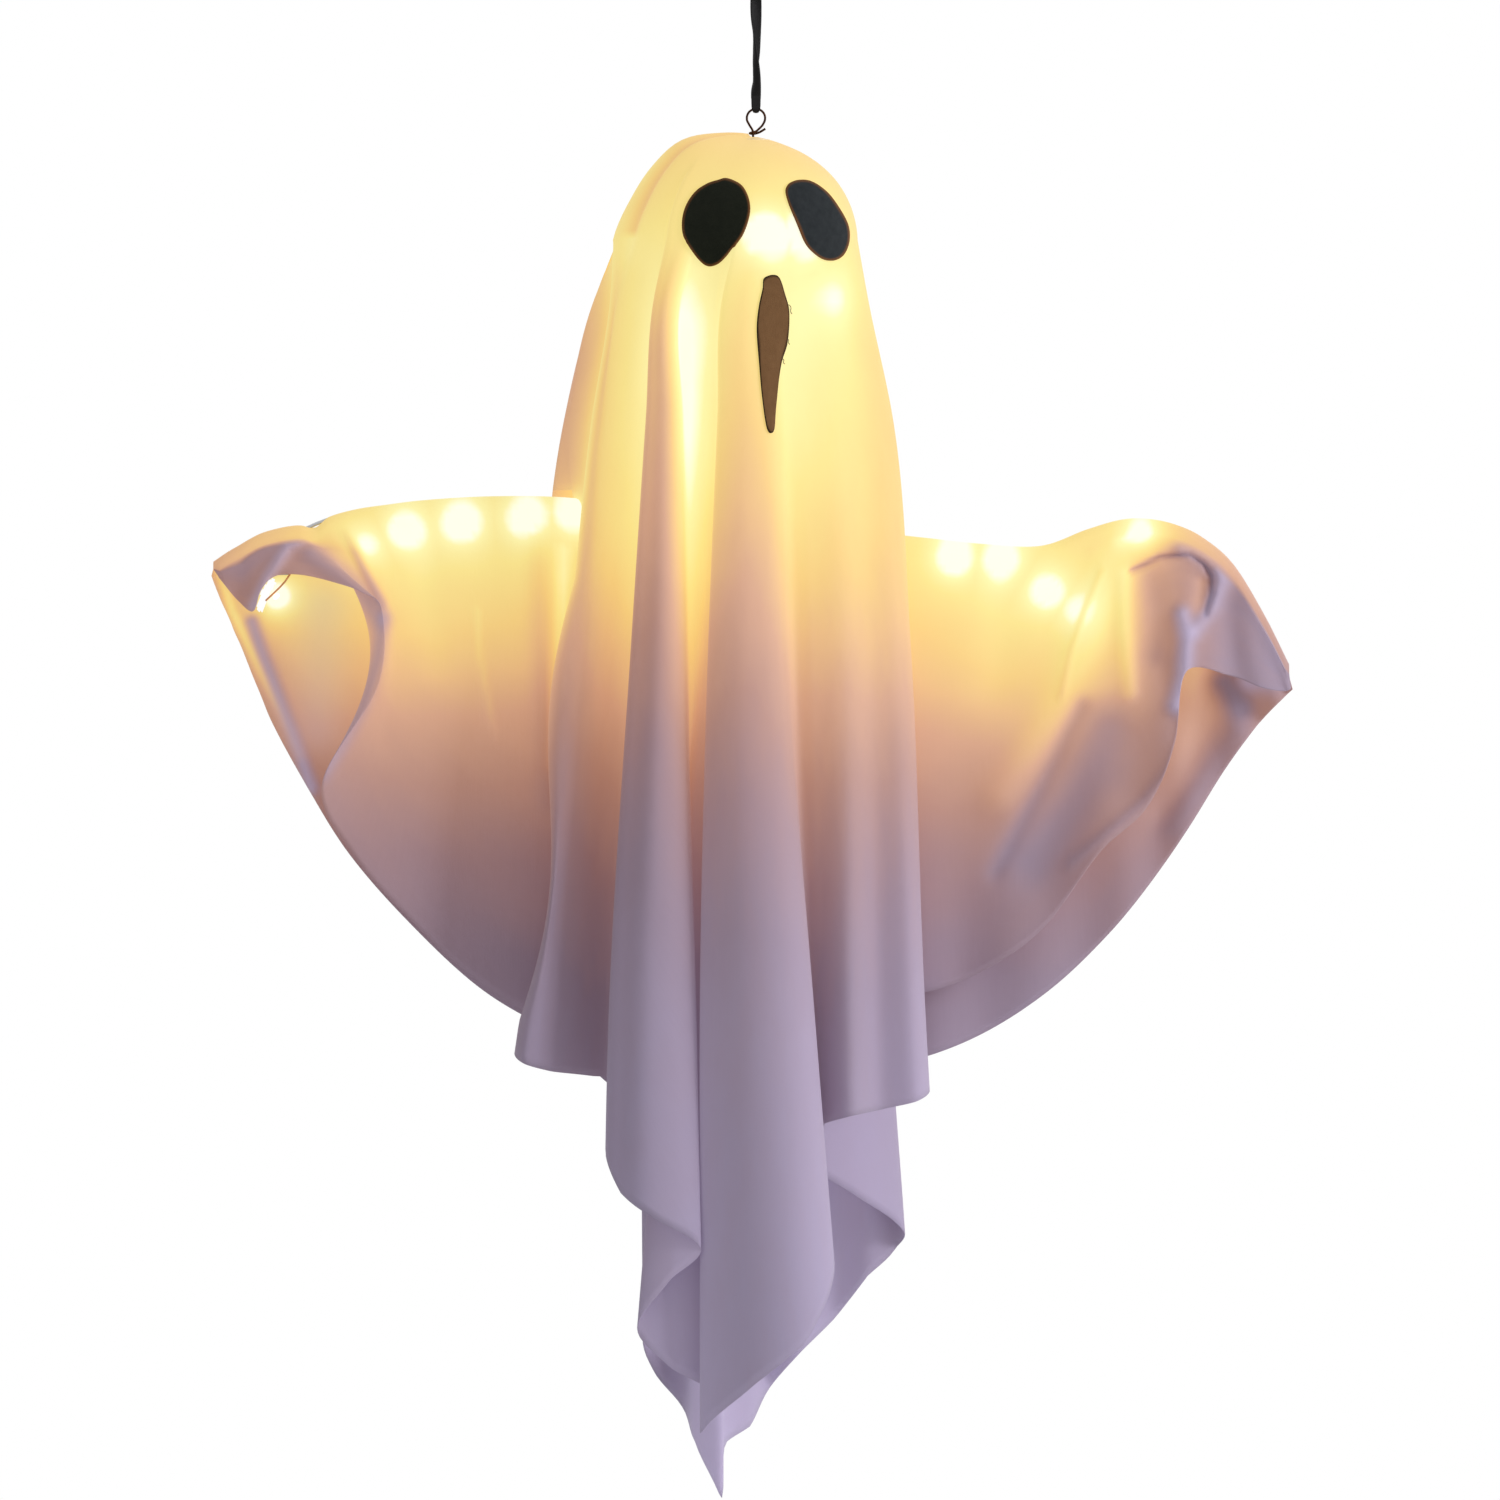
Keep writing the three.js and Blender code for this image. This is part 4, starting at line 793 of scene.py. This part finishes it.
FRONT = -1
BACK = 1
LEFT_STATIONS = [
    (-72, -290.1, -70, -573, -7, -70, -576, 7, 0, 1),
    (-105, -287.1, -106, -561, -7, -106, -564, 7, 0, 1),
    (-140, -286.9, -143, -540, -9, -143, -543, 9, 2, 1),
    (-172, -288.8, -180, -506, -14, -180, -509, 11, 8, 1),
    (-192, -291.2, -208, -474, -21, -213, -471, 10, 14, 1),
    (-208, -293.6, -225, -437, -28, -238, -430, 9, 24, 0.95),
    (-222, -297.6, -196, -386, -33, -251, -406, 9, 5, 0.85),
    (-229, -303, -193.5, -347, -33, -257, -392, 9, 0, 0.75),
    (-237, -302, -204, -337, -28, -262.5, -378.5, 9, 0, 0.6),
    (-244, -302.6, -221, -331, -22, -267, -367, 9, 0, 0.5),
    (-252, -304.4, -237, -327.5, -17, -271, -358, 9, 0, 0.45),
    (-258, -306.4, -250, -328.5, -15, -274, -350.5, 9, 0, 0.45),
    (-264, -309.5, -257, -336, -14, -277, -344, 8, 0, 0.45),
    (-269, -312.5, -261, -346.5, -13, -279.5, -338, 7, 0, 0.45),
    (-275, -316, -269, -341, -10, -281.5, -333, 5, 0, 0.5),
    (-282, -320.8, -279, -329, -5, -283, -328, 2, 0, 0.55),
]
RIGHT_STATIONS = [
    (62, -305.6, 62, -548, -7, 60, -584, 7, 0, 1),
    (88, -308.4, 94, -543, -7, 92, -577, 7, 0, 1),
    (118, -311.6, 122, -531, -10, 124, -563, 9, 0, 1),
    (148, -312.6, 150, -510, -16, 156, -541, 11, 0, 1),
    (172, -304.1, 178, -472, -22, 184, -514, 12, 0, 1),
    (190, -299, 203, -448, -26, 206, -487, 12, 4, 0.95),
    (204, -298.6, 217, -415, -26, 224, -461, 11, 4, 0.8),
    (218, -301.5, 223, -378, -22, 242, -432, 10, 0, 0.6),
    (232, -308.1, 246, -380, -17, 256, -412, 8, 0, 0.5),
    (248, -322, 262, -386, -12, 266, -400, 6, 0, 0.45),
    (264, -348, 274, -388, -8, 275, -391, 3, 0, 0.45),
    (277, -374, 278, -387, -3, 279, -387, 2, 0, 0.5),
]
WING_COLUMNS = 160
WING_ROWS = 120
WING_LENGTH = 560

# Round crest over the arm, and the part of its cloth's length that lies on the crest
CREST_RADIUS = 6.5
CREST_ROOM = 0.35
CREST_SHARE = 0.06
CREST_FADE = 8

RIPPLE_HEIGHT = 1.4
RIPPLE_PACE = 41
# Least share of the painted lamp glow, where the painted shade stops
LEAST_TONE = 0.15

# Where the cloth goes over from the body to the arm, on the wing's own side
BLEND_FOOT = (68, -575)
BLEND_CREST = (108, -345)

# Gap in the back of the left cuff that shows the background
LEFT_GAP = (-257.8, -344.5, -255.5, -337, -252, -331.5)
HOLE_HALF_WIDTH = 2.1

# Creases and hollows of the wings, layer by layer: the width of one, its height out of the cloth,
# how much more of the painted lamp glow it shows (below 0 a painted shade, above 0 a painted highlight),
# how much painted daylight shows through it, then x, z, x, z ... along it
LEFT_CREASES = {FRONT: [
    (2.4, 2.6, -0.26, 0.1, -216.5, -297.1, -213.7, -304.1, -203.8, -324.5, -193.6, -343),
    (5, 0.6, -0.12, 0, -221, -302.2, -210.2, -320.7, -198, -339.8),
    (7, 1.5, -0.12, 0.1, -276.4, -322.6, -267.5, -324.5, -253.5, -315.6, -240.7, -308),
    (3.2, 3.6, -0.08, 0.45, -260.5, -343.7, -253.5, -328.4, -243.3, -313.1, -231.8, -306.1),
    (6, 2.6, -0.26, 0.25, -230.5, -316.9, -215.2, -328.4, -202.5, -340.5, -195.1, -350),
    (3.8, 2.4, -0.22, 0.3, -193.1, -350, -195.9, -370.4, -203.3, -394.6, -213.7, -415,
     -224.8, -431.3),
    (1.8, 1.5, 0.08, 0, -145.2, -344.9, -143.2, -370.4, -136, -408.7),
    (9, -1.8, 0.05, 0, -169.4, -299.1, -173.2, -337.3, -165.5, -375.5),
    (4, -2.4, 0.28, 0, -99.9, -315.6, -101.2, -355.1, -103.1, -388.3, -104.4, -426.5),
    (6, 1.6, -0.12, 0, -113.3, -299.1, -112.7, -350, -110.1, -401, -108.2, -445.6),
], BACK: [
    (3.6, -2.6, -0.35, 0.6, -262, -352, -256, -370, -248.5, -390, -240.8, -411, -231, -438),
    (2.8, 0.5, 0.4, 0, -279.2, -325.8, -272.6, -346.2, -259.2, -374.2, -247.1, -399.1,
     -237.2, -421.4),
    (14, 2.5, 0.12, 0.28, -225.4, -344.9, -227.4, -375.5, -230, -407.4),
]}
RIGHT_CREASES = {FRONT: [
    (10, 3, 0.17, 0, 185, -316.8, 177.7, -339.9, 171.6, -361.9, 160.6, -386.3, 146, -413.2,
     127.6, -441.3),
    (15, -3, -0.4, 0.1, 183, -408, 177, -424, 166, -446, 143, -476),
    (5, -1.6, -0.24, 0, 169, -395, 147.5, -438, 124.5, -482),
    (11, -1, -0.12, 0, 212.6, -376.3, 209.5, -410.7, 193.1, -435.2),
    (4.2, 2.6, 0.2, 0, 191.1, -327.7, 191.1, -349.7, 192.6, -374.1, 194.1, -388.4),
    (8, -1.8, -0.2, 0, 204.5, -329, 207.6, -344.8, 206.4, -368),
    (1.7, -2.8, -0.4, -0.2, 194.8, -325.3, 209.4, -318.2, 225.3, -316.8, 232.6, -321.6,
     236.9, -328.3, 236.9, -337.5, 233.2, -348.5),
    (4.4, 3.6, -0.3, 0.55, 221.6, -313.1, 231.4, -316.1, 240.2, -321.6, 241.7, -331.4,
     236.5, -344.8, 227.7, -357),
    (4.6, -3, 0.32, 0, 232, -332.6, 230.2, -344.8),
    (4.6, 4.6, -0.4, 0.7, 221.4, -348.5, 223.5, -361.9, 222.2, -380.2, 217.7, -395.5),
    (8, -2.6, -0.2, 0, 246, -344.8, 246, -369.2, 244.8, -386.3),
    (6, 2, -0.05, 0.3, 258.3, -335.1, 266.8, -354.6, 273.5, -370.5),
    (3, 1.8, -0.2, 0, 222.6, -398.5, 220.2, -415.6, 213.7, -427.8, 201.5, -443.9,
     191.7, -452.9, 163, -476.7),
    (1.8, 1.7, -0.1, 0, 179.5, -325.3, 170.4, -346, 163.3, -366.8, 158.4, -390),
    (5, 2.2, -0.16, 0, 158.2, -311.9, 166.7, -306.4, 181.4, -305.2),
    (2.4, 1.8, -0.14, 0, 173.4, -314.3, 181.4, -308.5, 192.3, -301.5),
    (4, 0.5, 0.6, 0, 188.7, -308.5, 202.1, -301.5, 214.3, -296.6),
    (9, -0.5, -0.42, 0, 124, -321.4, 129.5, -321.4),
    (12, -1.8, 0.04, 0, 117.9, -313.1, 127.6, -349.7, 124, -386.3),
], BACK: [
    (8, -3, -0.4, 0.8, 258.3, -380.2, 266.8, -380.2),
    (8, 2, -0.65, -0.2, 244.2, -383.9, 252.1, -396.7),
    (7, 1.5, 0.16, 0.1, 229, -374.1, 229.6, -398.5, 224.7, -429.1, 211.9, -452.2),
    (8, -1.5, -0.3, 0, 250.3, -409.5, 234.4, -432.7, 217.4, -457.1),
]}


def away_from(line, x, z):
    """Distance from a point to a bent line through x, z, x, z ..."""
    nearest = math.inf
    for k in range(0, len(line) - 2, 2):
        x1, z1, x2, z2 = line[k:k + 4]
        run, rise = x2 - x1, z2 - z1
        share = ((x - x1) * run + (z - z1) * rise) / (run * run + rise * rise)
        share = min(max(share, 0), 1)
        nearest = min(nearest, math.hypot(x - x1 - run * share, z - z1 - rise * share))
    return nearest


def creased(creases, point, side):
    """Height, share of the painted lamp glow and painted daylight that the creases of one layer give at a
    point.
    """
    height = pale = 0
    tone = 1
    for width, lift, change, more_daylight, *line in creases[side]:
        near = math.exp(-(away_from(line, point.x, point.z) / width) ** 2)
        height += lift * near
        tone += change * near
        pale += more_daylight * near
    return height, max(tone, LEAST_TONE), min(max(pale, 0), 1)


def wing_spot(stations, creases, u, w):
    """A point of a wing, its share of the painted lamp glow and its painted daylight."""
    top_x, top_z, *ends, bow, cuff = along(stations, u)
    across = 2 * w - 1
    side = FRONT if across < 0 else BACK
    x, z, y = ends[:3] if side == FRONT else ends[3:]
    end = Vector((x, y, z))
    top = Vector((top_x, 0, top_z))
    radius = min(CREST_RADIUS, (top - end).length * CREST_ROOM)
    share = abs(across)
    if share < CREST_SHARE:
        turn = share / CREST_SHARE * math.pi / 2
        drop = radius * (1 - math.cos(turn))
        return Vector((top.x, side * radius * math.sin(turn), top.z - drop)), 1, 0
    down = (share - CREST_SHARE) / (1 - CREST_SHARE)
    point = Vector((top.x, side * radius, top.z - radius)).lerp(end, down)
    if side == FRONT:
        inward = math.copysign(1, -stations[-1][0])
        point.x += bow * inward * math.sin(math.pi * down)
    height, tone, pale = creased(creases, point, side)
    ripple = RIPPLE_HEIGHT * math.sin(u * RIPPLE_PACE + side) * down ** 2
    fade = min(1, down * CREST_FADE)
    point.y += side * (height + ripple) * fade
    # The front layer's painted shade towards the hand
    layer_tone = cuff if side == FRONT else 1
    return point, mix(1, layer_tone * tone, fade), pale * fade


def build_wing(name, stations, creases, arm, node, cut=None):
    hand_x = stations[-1][0]
    outward = math.copysign(1, hand_x)
    spot = functools.partial(wing_spot, stations, creases)

    def flat(u, w):
        return abs(hand_x) * u, WING_LENGTH * (w - 0.5)

    def opened(u, w):
        point = spot(u, w)[0]
        return w > 0.5 and away_from(cut, point.x, point.z) < HOLE_HALF_WIDTH

    bm = cloth_piece(WING_COLUMNS, WING_ROWS, spot, flat, opened if cut else None)
    piece = thicken(make_piece(name, bm, None, "ghost_cloth", replaces=[node]), CLOTH_THICK)
    # The foot of the cloth beside the drape stays with the body, the crest goes with the arm
    foot, crest = [Vector((outward * x, 0, z)) * MM for x, z in (BLEND_FOOT, BLEND_CREST)]
    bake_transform(piece, "ghost", arm, start=tuple(foot), end=tuple(crest))
    return piece


# Felt face patches, laid on the cloth

FACE_LEVEL = -149.8
LEFT_EYE = [
    (-14.2, 26.3), (-6.4, 21.7), (-2.9, 11), (-6.4, -2.1), (-13.6, -11.7), (-19.6, -17.6),
    (-25.5, -18.3), (-31.5, -12.9), (-36.9, -4.5), (-38.1, 3.8), (-36.2, 12.2), (-31.5, 19.3),
    (-25.5, 23.5), (-19.6, 25.5),
]
RIGHT_EYE = [
    (19.9, 25.3), (27.6, 25.3), (35.4, 20.5), (41.3, 13.4), (46.7, 3.8), (47.5, -4.5),
    (44.9, -11.7), (40.1, -15.1), (34.2, -14.7), (28.2, -10.5), (24.6, -5.7), (21.1, 2.6),
    (16.3, 14.6), (15.3, 21.7),
]
MOUTH = [
    (4.3, -24.8), (10.9, -23.9), (14.4, -33.2), (16.6, -42.7), (15.7, -58.2), (12.1, -70.1),
    (9.7, -90.5), (8.5, -103.8), (5.5, -103), (3, -86.9), (1.5, -70.1), (0.2, -52.2),
    (1.2, -40.3), (3.2, -30.8),
]
FELT_THICK = 0.9
FELT_GAP = 0.35
FELT_RINGS = 16
FELT_ROUND = 112
CAST_FROM = -220


def face_hit(tree, x, z):
    """The cloth's point and normal where a line straight back meets the face."""
    start = Vector((x, CAST_FROM, FACE_LEVEL + z)) * MM
    return tree.ray_cast(start, Vector((0, 1, 0)))[:2]


def build_felt(name, outline, tree, slot, finish=None):
    """Rings of points from the middle to the outline, cast onto the cloth."""
    corners = [Vector(corner) for corner in outline]
    middle = sum(corners, Vector((0, 0))) / len(corners)
    looped = [corners[-1], *corners, *corners[:2]]
    rims = [spline(looped, 1 + k * len(corners) / FELT_ROUND) for k in range(FELT_ROUND)]
    bm = bmesh.new()
    bmesh.ops.create_circle(bm, cap_ends=True, cap_tris=True, radius=1, segments=FELT_ROUND)
    spokes = [e for e in bm.edges if any(v.co.length < 1e-6 for v in e.verts)]
    bmesh.ops.subdivide_edges(bm, edges=spokes, cuts=FELT_RINGS - 1, use_grid_fill=True)
    edge_layer = bm.verts.layers.float.new("edge")
    for vert in bm.verts:
        reach = min(vert.co.xy.length / math.cos(math.pi / FELT_ROUND), 1)
        place = math.atan2(vert.co.y, vert.co.x) / math.tau % 1 * FELT_ROUND
        k = int(place) % FELT_ROUND
        edge = rims[k].lerp(rims[(k + 1) % FELT_ROUND], place - int(place))
        spot = middle.lerp(edge, reach)
        vert[edge_layer] = (edge - spot).length * MM
        hit, normal = face_hit(tree, *spot)
        outward = normal if normal.y < 0 else -normal
        vert.co = hit + outward * (FELT_GAP + FELT_THICK / 2) * MM
    piece = make_piece(name + "_felt", bm, "ghost", slot, finish, replaces=[name])
    thicken(piece, FELT_THICK)


# Ribbon: a band that hangs from its loop, turns over once and runs through the wire eye

RIBBON_WIDTH = 6.2
RIBBON_TOP = -27.4
RIBBON_FOOT = -80
RIBBON_LAYER = 0.35

# Level, turn about the vertical in degrees, half width, and how far the band curls
RIBBON_STATIONS = [
    (-27.4, 2, 2.8, 0.4), (-38, 32, 3.1, 0.9), (-47, 56, 3.1, 1.8), (-56, 77, 3.1, 2.6),
    (-63, 98, 3, 2.7), (-69, 123, 2.8, 2.2), (-75, 155, 2.6, 1), (-80, 180, 2.45, 0.3),
]
RIBBON_COLUMNS = 8


def there_and_back(rows):
    """Rows of numbers, then the same rows back from the middle one on the other side."""
    return rows + [(-first, *rest) for first, *rest in rows[-2::-1]]


# (y, z, half width) down the front, under the wire and up the back
BIGHT_STATIONS = there_and_back([
    (-0.42, -78, 2.45), (-0.75, -80.5, 2.45), (-1.15, -83, 2.4), (-1.35, -85, 2.25),
    (-1.1, -86.4, 1.75), (0, -87.1, 1.35),
])
# (x, z, half width) up one side of the hanging loop, over, and down
LOOP_STATIONS = there_and_back([
    (-0.5, -19.5, 1.8), (-1.7, -15.5, 2.5), (-3.4, -10.5, 2.95), (-5, -6, 3), (-4.9, -2.6, 3),
    (-3, -0.1, 3), (0, 0.5, 3),
])


def build_band(name, rows, length, spot, thick, body, nodes):
    """A strip of ribbon. spot gives its middle, the way across it and its curl at a share of it."""
    bm, spots = flat_grid(RIBBON_COLUMNS, rows, lambda u, w: (u * RIBBON_WIDTH, w * length))
    for vert, (u, w) in spots.items():
        middle, across, curl = spot(w)
        side = 2 * u - 1
        vert.co = (middle + across * side + curl * (0.5 - side * side)) * MM
    return thicken(make_piece(name, bm, body, "ribbon", replaces=nodes), thick)


def ribbon_spot(w):
    level, degrees, half, curl = along(RIBBON_STATIONS, w)
    turn = math.radians(degrees)
    across = Vector((math.cos(turn), math.sin(turn), 0)) * half
    return Vector((0, 0, level)), across, Vector((-math.sin(turn), math.cos(turn), 0)) * curl


def bight_spot(w):
    y, z, half = along(BIGHT_STATIONS, w)
    return Vector((0, y, z)), Vector((half, 0, 0)), Vector((0, 0, -0.35))


def loop_spot(w):
    x, z, half = along(LOOP_STATIONS, w)
    return Vector((x, 0, z)), Vector((0, half, 0)), Vector((0, 0, 0.15))


def turned(profile, segments, x=0, z=0):
    """A closed shape of revolution about the vertical, from (radius, height) pairs."""
    bm = bmesh.new()
    verts = [bm.verts.new((radius, 0, height)) for radius, height in profile]
    edges = [bm.edges.new(pair) for pair in zip(verts, verts[1:])]
    bmesh.ops.spin(
        bm, geom=verts + edges, cent=(0, 0, 0), axis=(0, 0, 1), angle=math.tau, steps=segments,
        use_merge=True,
    )
    bmesh.ops.remove_doubles(bm, verts=bm.verts, dist=1e-4)
    bmesh.ops.translate(bm, verts=bm.verts, vec=(x, 0, z))
    return bm


KNOT_LEVEL = -23.5
KNOT_STEPS = 24
KNOT_ROLLS = 1.5


def build_knot():
    """A pulled knot: three rolls of folded satin that slant round each other."""
    profile = [(0, -4.4), (1.6, -4.4)]
    for k in range(KNOT_STEPS + 1):
        share = k / KNOT_STEPS
        roll = abs(math.sin(math.pi * share * KNOT_ROLLS + 0.5)) ** 0.7
        profile.append((2.4 + 1.9 * roll, mix(-4.2, 4.2, share)))
    profile += [(1.6, 4.4), (0, 4.4)]
    bm = turned(profile, 48)
    for vert in bm.verts:
        x, y, z = vert.co
        turn = math.atan2(y, x)
        reach = math.hypot(x, y)
        pleat = 1 + 0.05 * math.sin(9 * turn + z * 1.3) + 0.04 * math.sin(4 * turn - z)
        lean = 1.1 * math.cos(turn) * min(reach / 4, 1) * (1 - abs(z) / 5)
        vert.co = Vector((x * pleat, y * pleat * 0.86, z * 0.96 + lean + KNOT_LEVEL)) * MM
    make_piece("tied_knot", bm, "hanger", "ribbon", replaces=["ribbon_knot"])


def build_wire(name, points, radius, body, slot, nodes=(), steps=4):
    """A bent wire with rounded bends and capped ends."""
    bends = [Vector(point) for point in points]
    route = [spline(bends, k / steps) for k in range((len(bends) - 1) * steps + 1)]
    curve = bpy.data.curves.new(name, "CURVE")
    curve.dimensions = "3D"
    curve.bevel_depth = radius * MM
    curve.bevel_resolution = 4
    curve.use_fill_caps = True
    run = curve.splines.new("POLY")
    run.points.add(len(route) - 1)
    for spot, place in zip(run.points, route):
        spot.co = (*(place * MM), 1)
    run.use_smooth = True
    curve.materials.append(FINISHES[slot])
    wire = add_object(name, curve)
    if nodes:
        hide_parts(*nodes)
    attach(wire, body)


EYE_MIDDLE = -90
EYE_RADIUS = 4.75
WIRE_RADIUS = 0.6
WIRE_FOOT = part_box("hanger_wire")[0].z / MM
SPINE_TOP = -99


def eye_route():
    """Cut tail, one wrap, the eye that comes to a point below, and the shank."""
    arc = []
    for degrees in range(-28, 209, 12):
        turn = math.radians(degrees)
        arc.append((EYE_RADIUS * math.cos(turn), 0, EYE_MIDDLE + EYE_RADIUS * math.sin(turn)))
    tail = [
        (4.9, 1.2, -95.5), (1.6, 1.8, -97.4), (-1.5, 1.8, -98.2), (-3.2, 0, -97.9),
        (-1.6, -1.7, -97.4), (0.1, -1.2, -96.9), (1.9, -0.6, -95.3), (3.3, -0.1, -93.8),
    ]
    return [*tail, *arc, (-3.3, 0, -93.8), (-2, 0, -95.9), (-1.5, 0, -97.6), (-1.5, 0, -100)]


ribbon = build_band(
    "satin_ribbon", 90, RIBBON_TOP - RIBBON_FOOT, ribbon_spot, RIBBON_LAYER * 2, None,
    ["ribbon_upper", "ribbon_lower"],
)
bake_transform(ribbon, "upper_ribbon", "lower_ribbon", start=(0, 0, -0.047), end=(0, 0, -0.075))
build_band("ribbon_round_eye", 60, 22, bight_spot, RIBBON_LAYER, "lower_ribbon", ["ribbon_bight"])
build_band("ribbon_hanging_loop", 72, 52, loop_spot, RIBBON_LAYER * 2, "hanger", ["hanging_loop"])
build_knot()
RIBBON_PATH = [(0, 0, mix(RIBBON_FOOT, RIBBON_TOP, k / 20) * MM) for k in range(21)]
build_wire(
    "bronze_eye_wire", eye_route(), WIRE_RADIUS, "ghost", "bronze_wire", ["hanger_wire"], steps=5
)


def build_spine():
    """The straight wire under the eye, down to the foot of the coil."""
    profile = [(0, WIRE_FOOT), (0.45, WIRE_FOOT), (WIRE_RADIUS, WIRE_FOOT + 0.2)]
    profile += [(WIRE_RADIUS, SPINE_TOP), (0, SPINE_TOP)]
    bm = turned(profile, 24, SPINE_X)
    bmesh.ops.scale(bm, vec=(MM, MM, MM), verts=bm.verts)
    make_piece("bronze_spine_wire", bm, "ghost", "bronze_wire")


def build_ball():
    profile = []
    for degrees in range(2, 179, 4):
        turn = math.radians(degrees)
        profile.append((BALL_RADIUS * math.sin(turn), BALL_RADIUS * math.cos(turn)))
    bm = turned([*profile, profile[0]], 64, SPINE_X, BALL_LEVEL)
    bmesh.ops.scale(bm, vec=(MM, MM, MM), verts=bm.verts)
    make_piece("pressed_foam_ball", bm, "ghost", "foam", replaces=["head_ball"])


TAPE_LEVEL = -299
TAPE_TURNS = 6
TAPE_HALF = 7.9


def build_tape():
    """Cloth tape wound over the joint of spine and arms, each turn half over the last."""
    profile = [(0.95, -8), (6.6, -8)]
    for k in range(TAPE_TURNS):
        low = mix(-TAPE_HALF, TAPE_HALF, k / TAPE_TURNS)
        high = mix(-TAPE_HALF, TAPE_HALF, (k + 1) / TAPE_TURNS)
        swell = 0.9 * math.sin(math.pi * (k + 0.5) / TAPE_TURNS)
        profile += [(6.9 + swell, low + 0.1), (7.1 + swell, low + 0.7), (6.7 + swell, high - 0.2)]
    profile += [(6.4, 8), (0.95, 8), (0.95, -8)]
    bm = turned(profile, 48)
    for vert in bm.verts:
        x, y, z = vert.co
        turn = math.atan2(y, x)
        if math.hypot(x, y) > 2:
            slant = 0.55 * math.cos(turn + 0.6) * (1 - abs(z) / 9)
            lump = 1 + 0.03 * math.sin(3 * turn + z * 0.4) + 0.015 * math.sin(11 * turn)
            x, y, z = x * lump, y * lump, z + slant
        vert.co = Vector((x + SPINE_X, y, z + TAPE_LEVEL)) * MM
    make_piece("wound_tape", bm, "ghost", "binding_tape", replaces=["arm_binding"])


shroud_cloth = build_shroud()
left_wing_cloth = build_wing(
    "left_wing_cloth", LEFT_STATIONS, LEFT_CREASES, "left_arm", "left_wing", LEFT_GAP
)
right_wing_cloth = build_wing(
    "right_wing_cloth", RIGHT_STATIONS, RIGHT_CREASES, "right_arm", "right_wing"
)
shroud_tree = BVHTree.FromObject(shroud_cloth, bpy.context.evaluated_depsgraph_get())
build_felt("left_eye", LEFT_EYE, shroud_tree, "eye_felt")
build_felt("right_eye", RIGHT_EYE, shroud_tree, "eye_felt", "right_eye_felt")
build_felt("mouth", MOUTH, shroud_tree, "mouth_felt")
build_spine()
build_ball()
build_tape()

# Threads that fray from the edge of the mouth, as (x, z) from the edge outwards
FRAYS = [
    [(16.4, -38.6), (17.4, -38.9), (18.1, -40.2), (17.9, -42), (18.6, -43.3)],
    [(16.2, -56), (16.9, -56.9), (16.8, -58.2), (17.5, -59.1)],
    [(13.6, -66.5), (14.4, -67.2), (14.2, -68.6), (14.9, -69.3)],
]
FRAY_RADIUS = 0.17


def build_frays():
    for number, fray in enumerate(FRAYS, 1):
        route = []
        for k, (x, z) in enumerate(fray):
            hit, _ = face_hit(shroud_tree, x, z)
            route.append((x, hit.y / MM - 0.75 - 0.25 * (k % 2), FACE_LEVEL + z))
        build_wire(f"mouth_fray_{number}", route, FRAY_RADIUS, "ghost", "mouth_felt")


build_frays()


# CAD nodes that stay get their finish from the record's slot

for subpart in frame["record"]["subparts"]:
    materials = frame["nodes"][subpart["node"]].data.materials
    materials.clear()
    materials.append(FINISHES[subpart["material_slot"]])


# Floor, world and lamps

FLOOR_LEVEL = -1.15
FLOOR_RADIUS = 6
FLOOR_GLOW = 0.33
WORLD_LIGHT = 0.38
LIGHT_AIM = Vector((0, 0, -0.42))


def build_floor():
    bm = bmesh.new()
    bmesh.ops.create_circle(bm, cap_ends=True, radius=FLOOR_RADIUS, segments=96)
    bmesh.ops.translate(bm, verts=bm.verts, vec=(0, 0, FLOOR_LEVEL))
    mesh = bpy.data.meshes.new("floor")
    bm.to_mesh(mesh)
    bm.free()
    finish = Finish("pale_floor")
    cloud = finish.noise(finish.place(), 3, 2)
    seen = finish.add("ShaderNodeLightPath", {}, {}, output="Is Camera Ray")
    finish.done(
        base_color=finish.mix(cloud, (0.9, 0.9, 0.9), (0.94, 0.94, 0.94)),
        roughness=0.7,
        emission_color=finish.mix(seen, (0, 0, 0), (FLOOR_GLOW, FLOOR_GLOW, FLOOR_GLOW)),
        emission_strength=1,
    )
    mesh.materials.append(finish.material)
    add_object("floor", mesh)


def build_world():
    """Soft grey light all round that looks white to the camera, in gloss and through glass."""
    world = bpy.data.worlds.new("studio")
    scene.world = world
    world.use_nodes = True
    nodes = Nodes(world.node_tree)
    camera_ray, glossy_ray, clear_ray = [
        nodes.add("ShaderNodeLightPath", {}, {}, output=f"Is {kind} Ray")
        for kind in ("Camera", "Glossy", "Transmission")
    ]
    white = camera_ray.or_more(glossy_ray.or_more(clear_ray))
    inputs = {"Value": white, "To Min": WORLD_LIGHT, "To Max": 1}
    strength = nodes.add("ShaderNodeMapRange", {}, inputs, output="Result")
    background = world.node_tree.nodes["Background"]
    nodes.feed(background, {"Color": (1, 1, 1), "Strength": strength})


def add_softbox(name, place, power, size):
    light = bpy.data.lights.new(name, "AREA")
    light.energy = power
    light.size = size
    lamp = add_object(name, light)
    lamp.location = place
    lamp.rotation_euler = (LIGHT_AIM - Vector(place)).to_track_quat("-Z", "Y").to_euler()


build_floor()
build_world()
add_softbox("key", (3, -1.4, 0.8), 72, 1.3)
add_softbox("fill", (-2.6, -1.8, 0.2), 3, 2)
add_softbox("back", (1, 2.6, 0.8), 12, 1.8)
scene.view_settings.view_transform = "Standard"
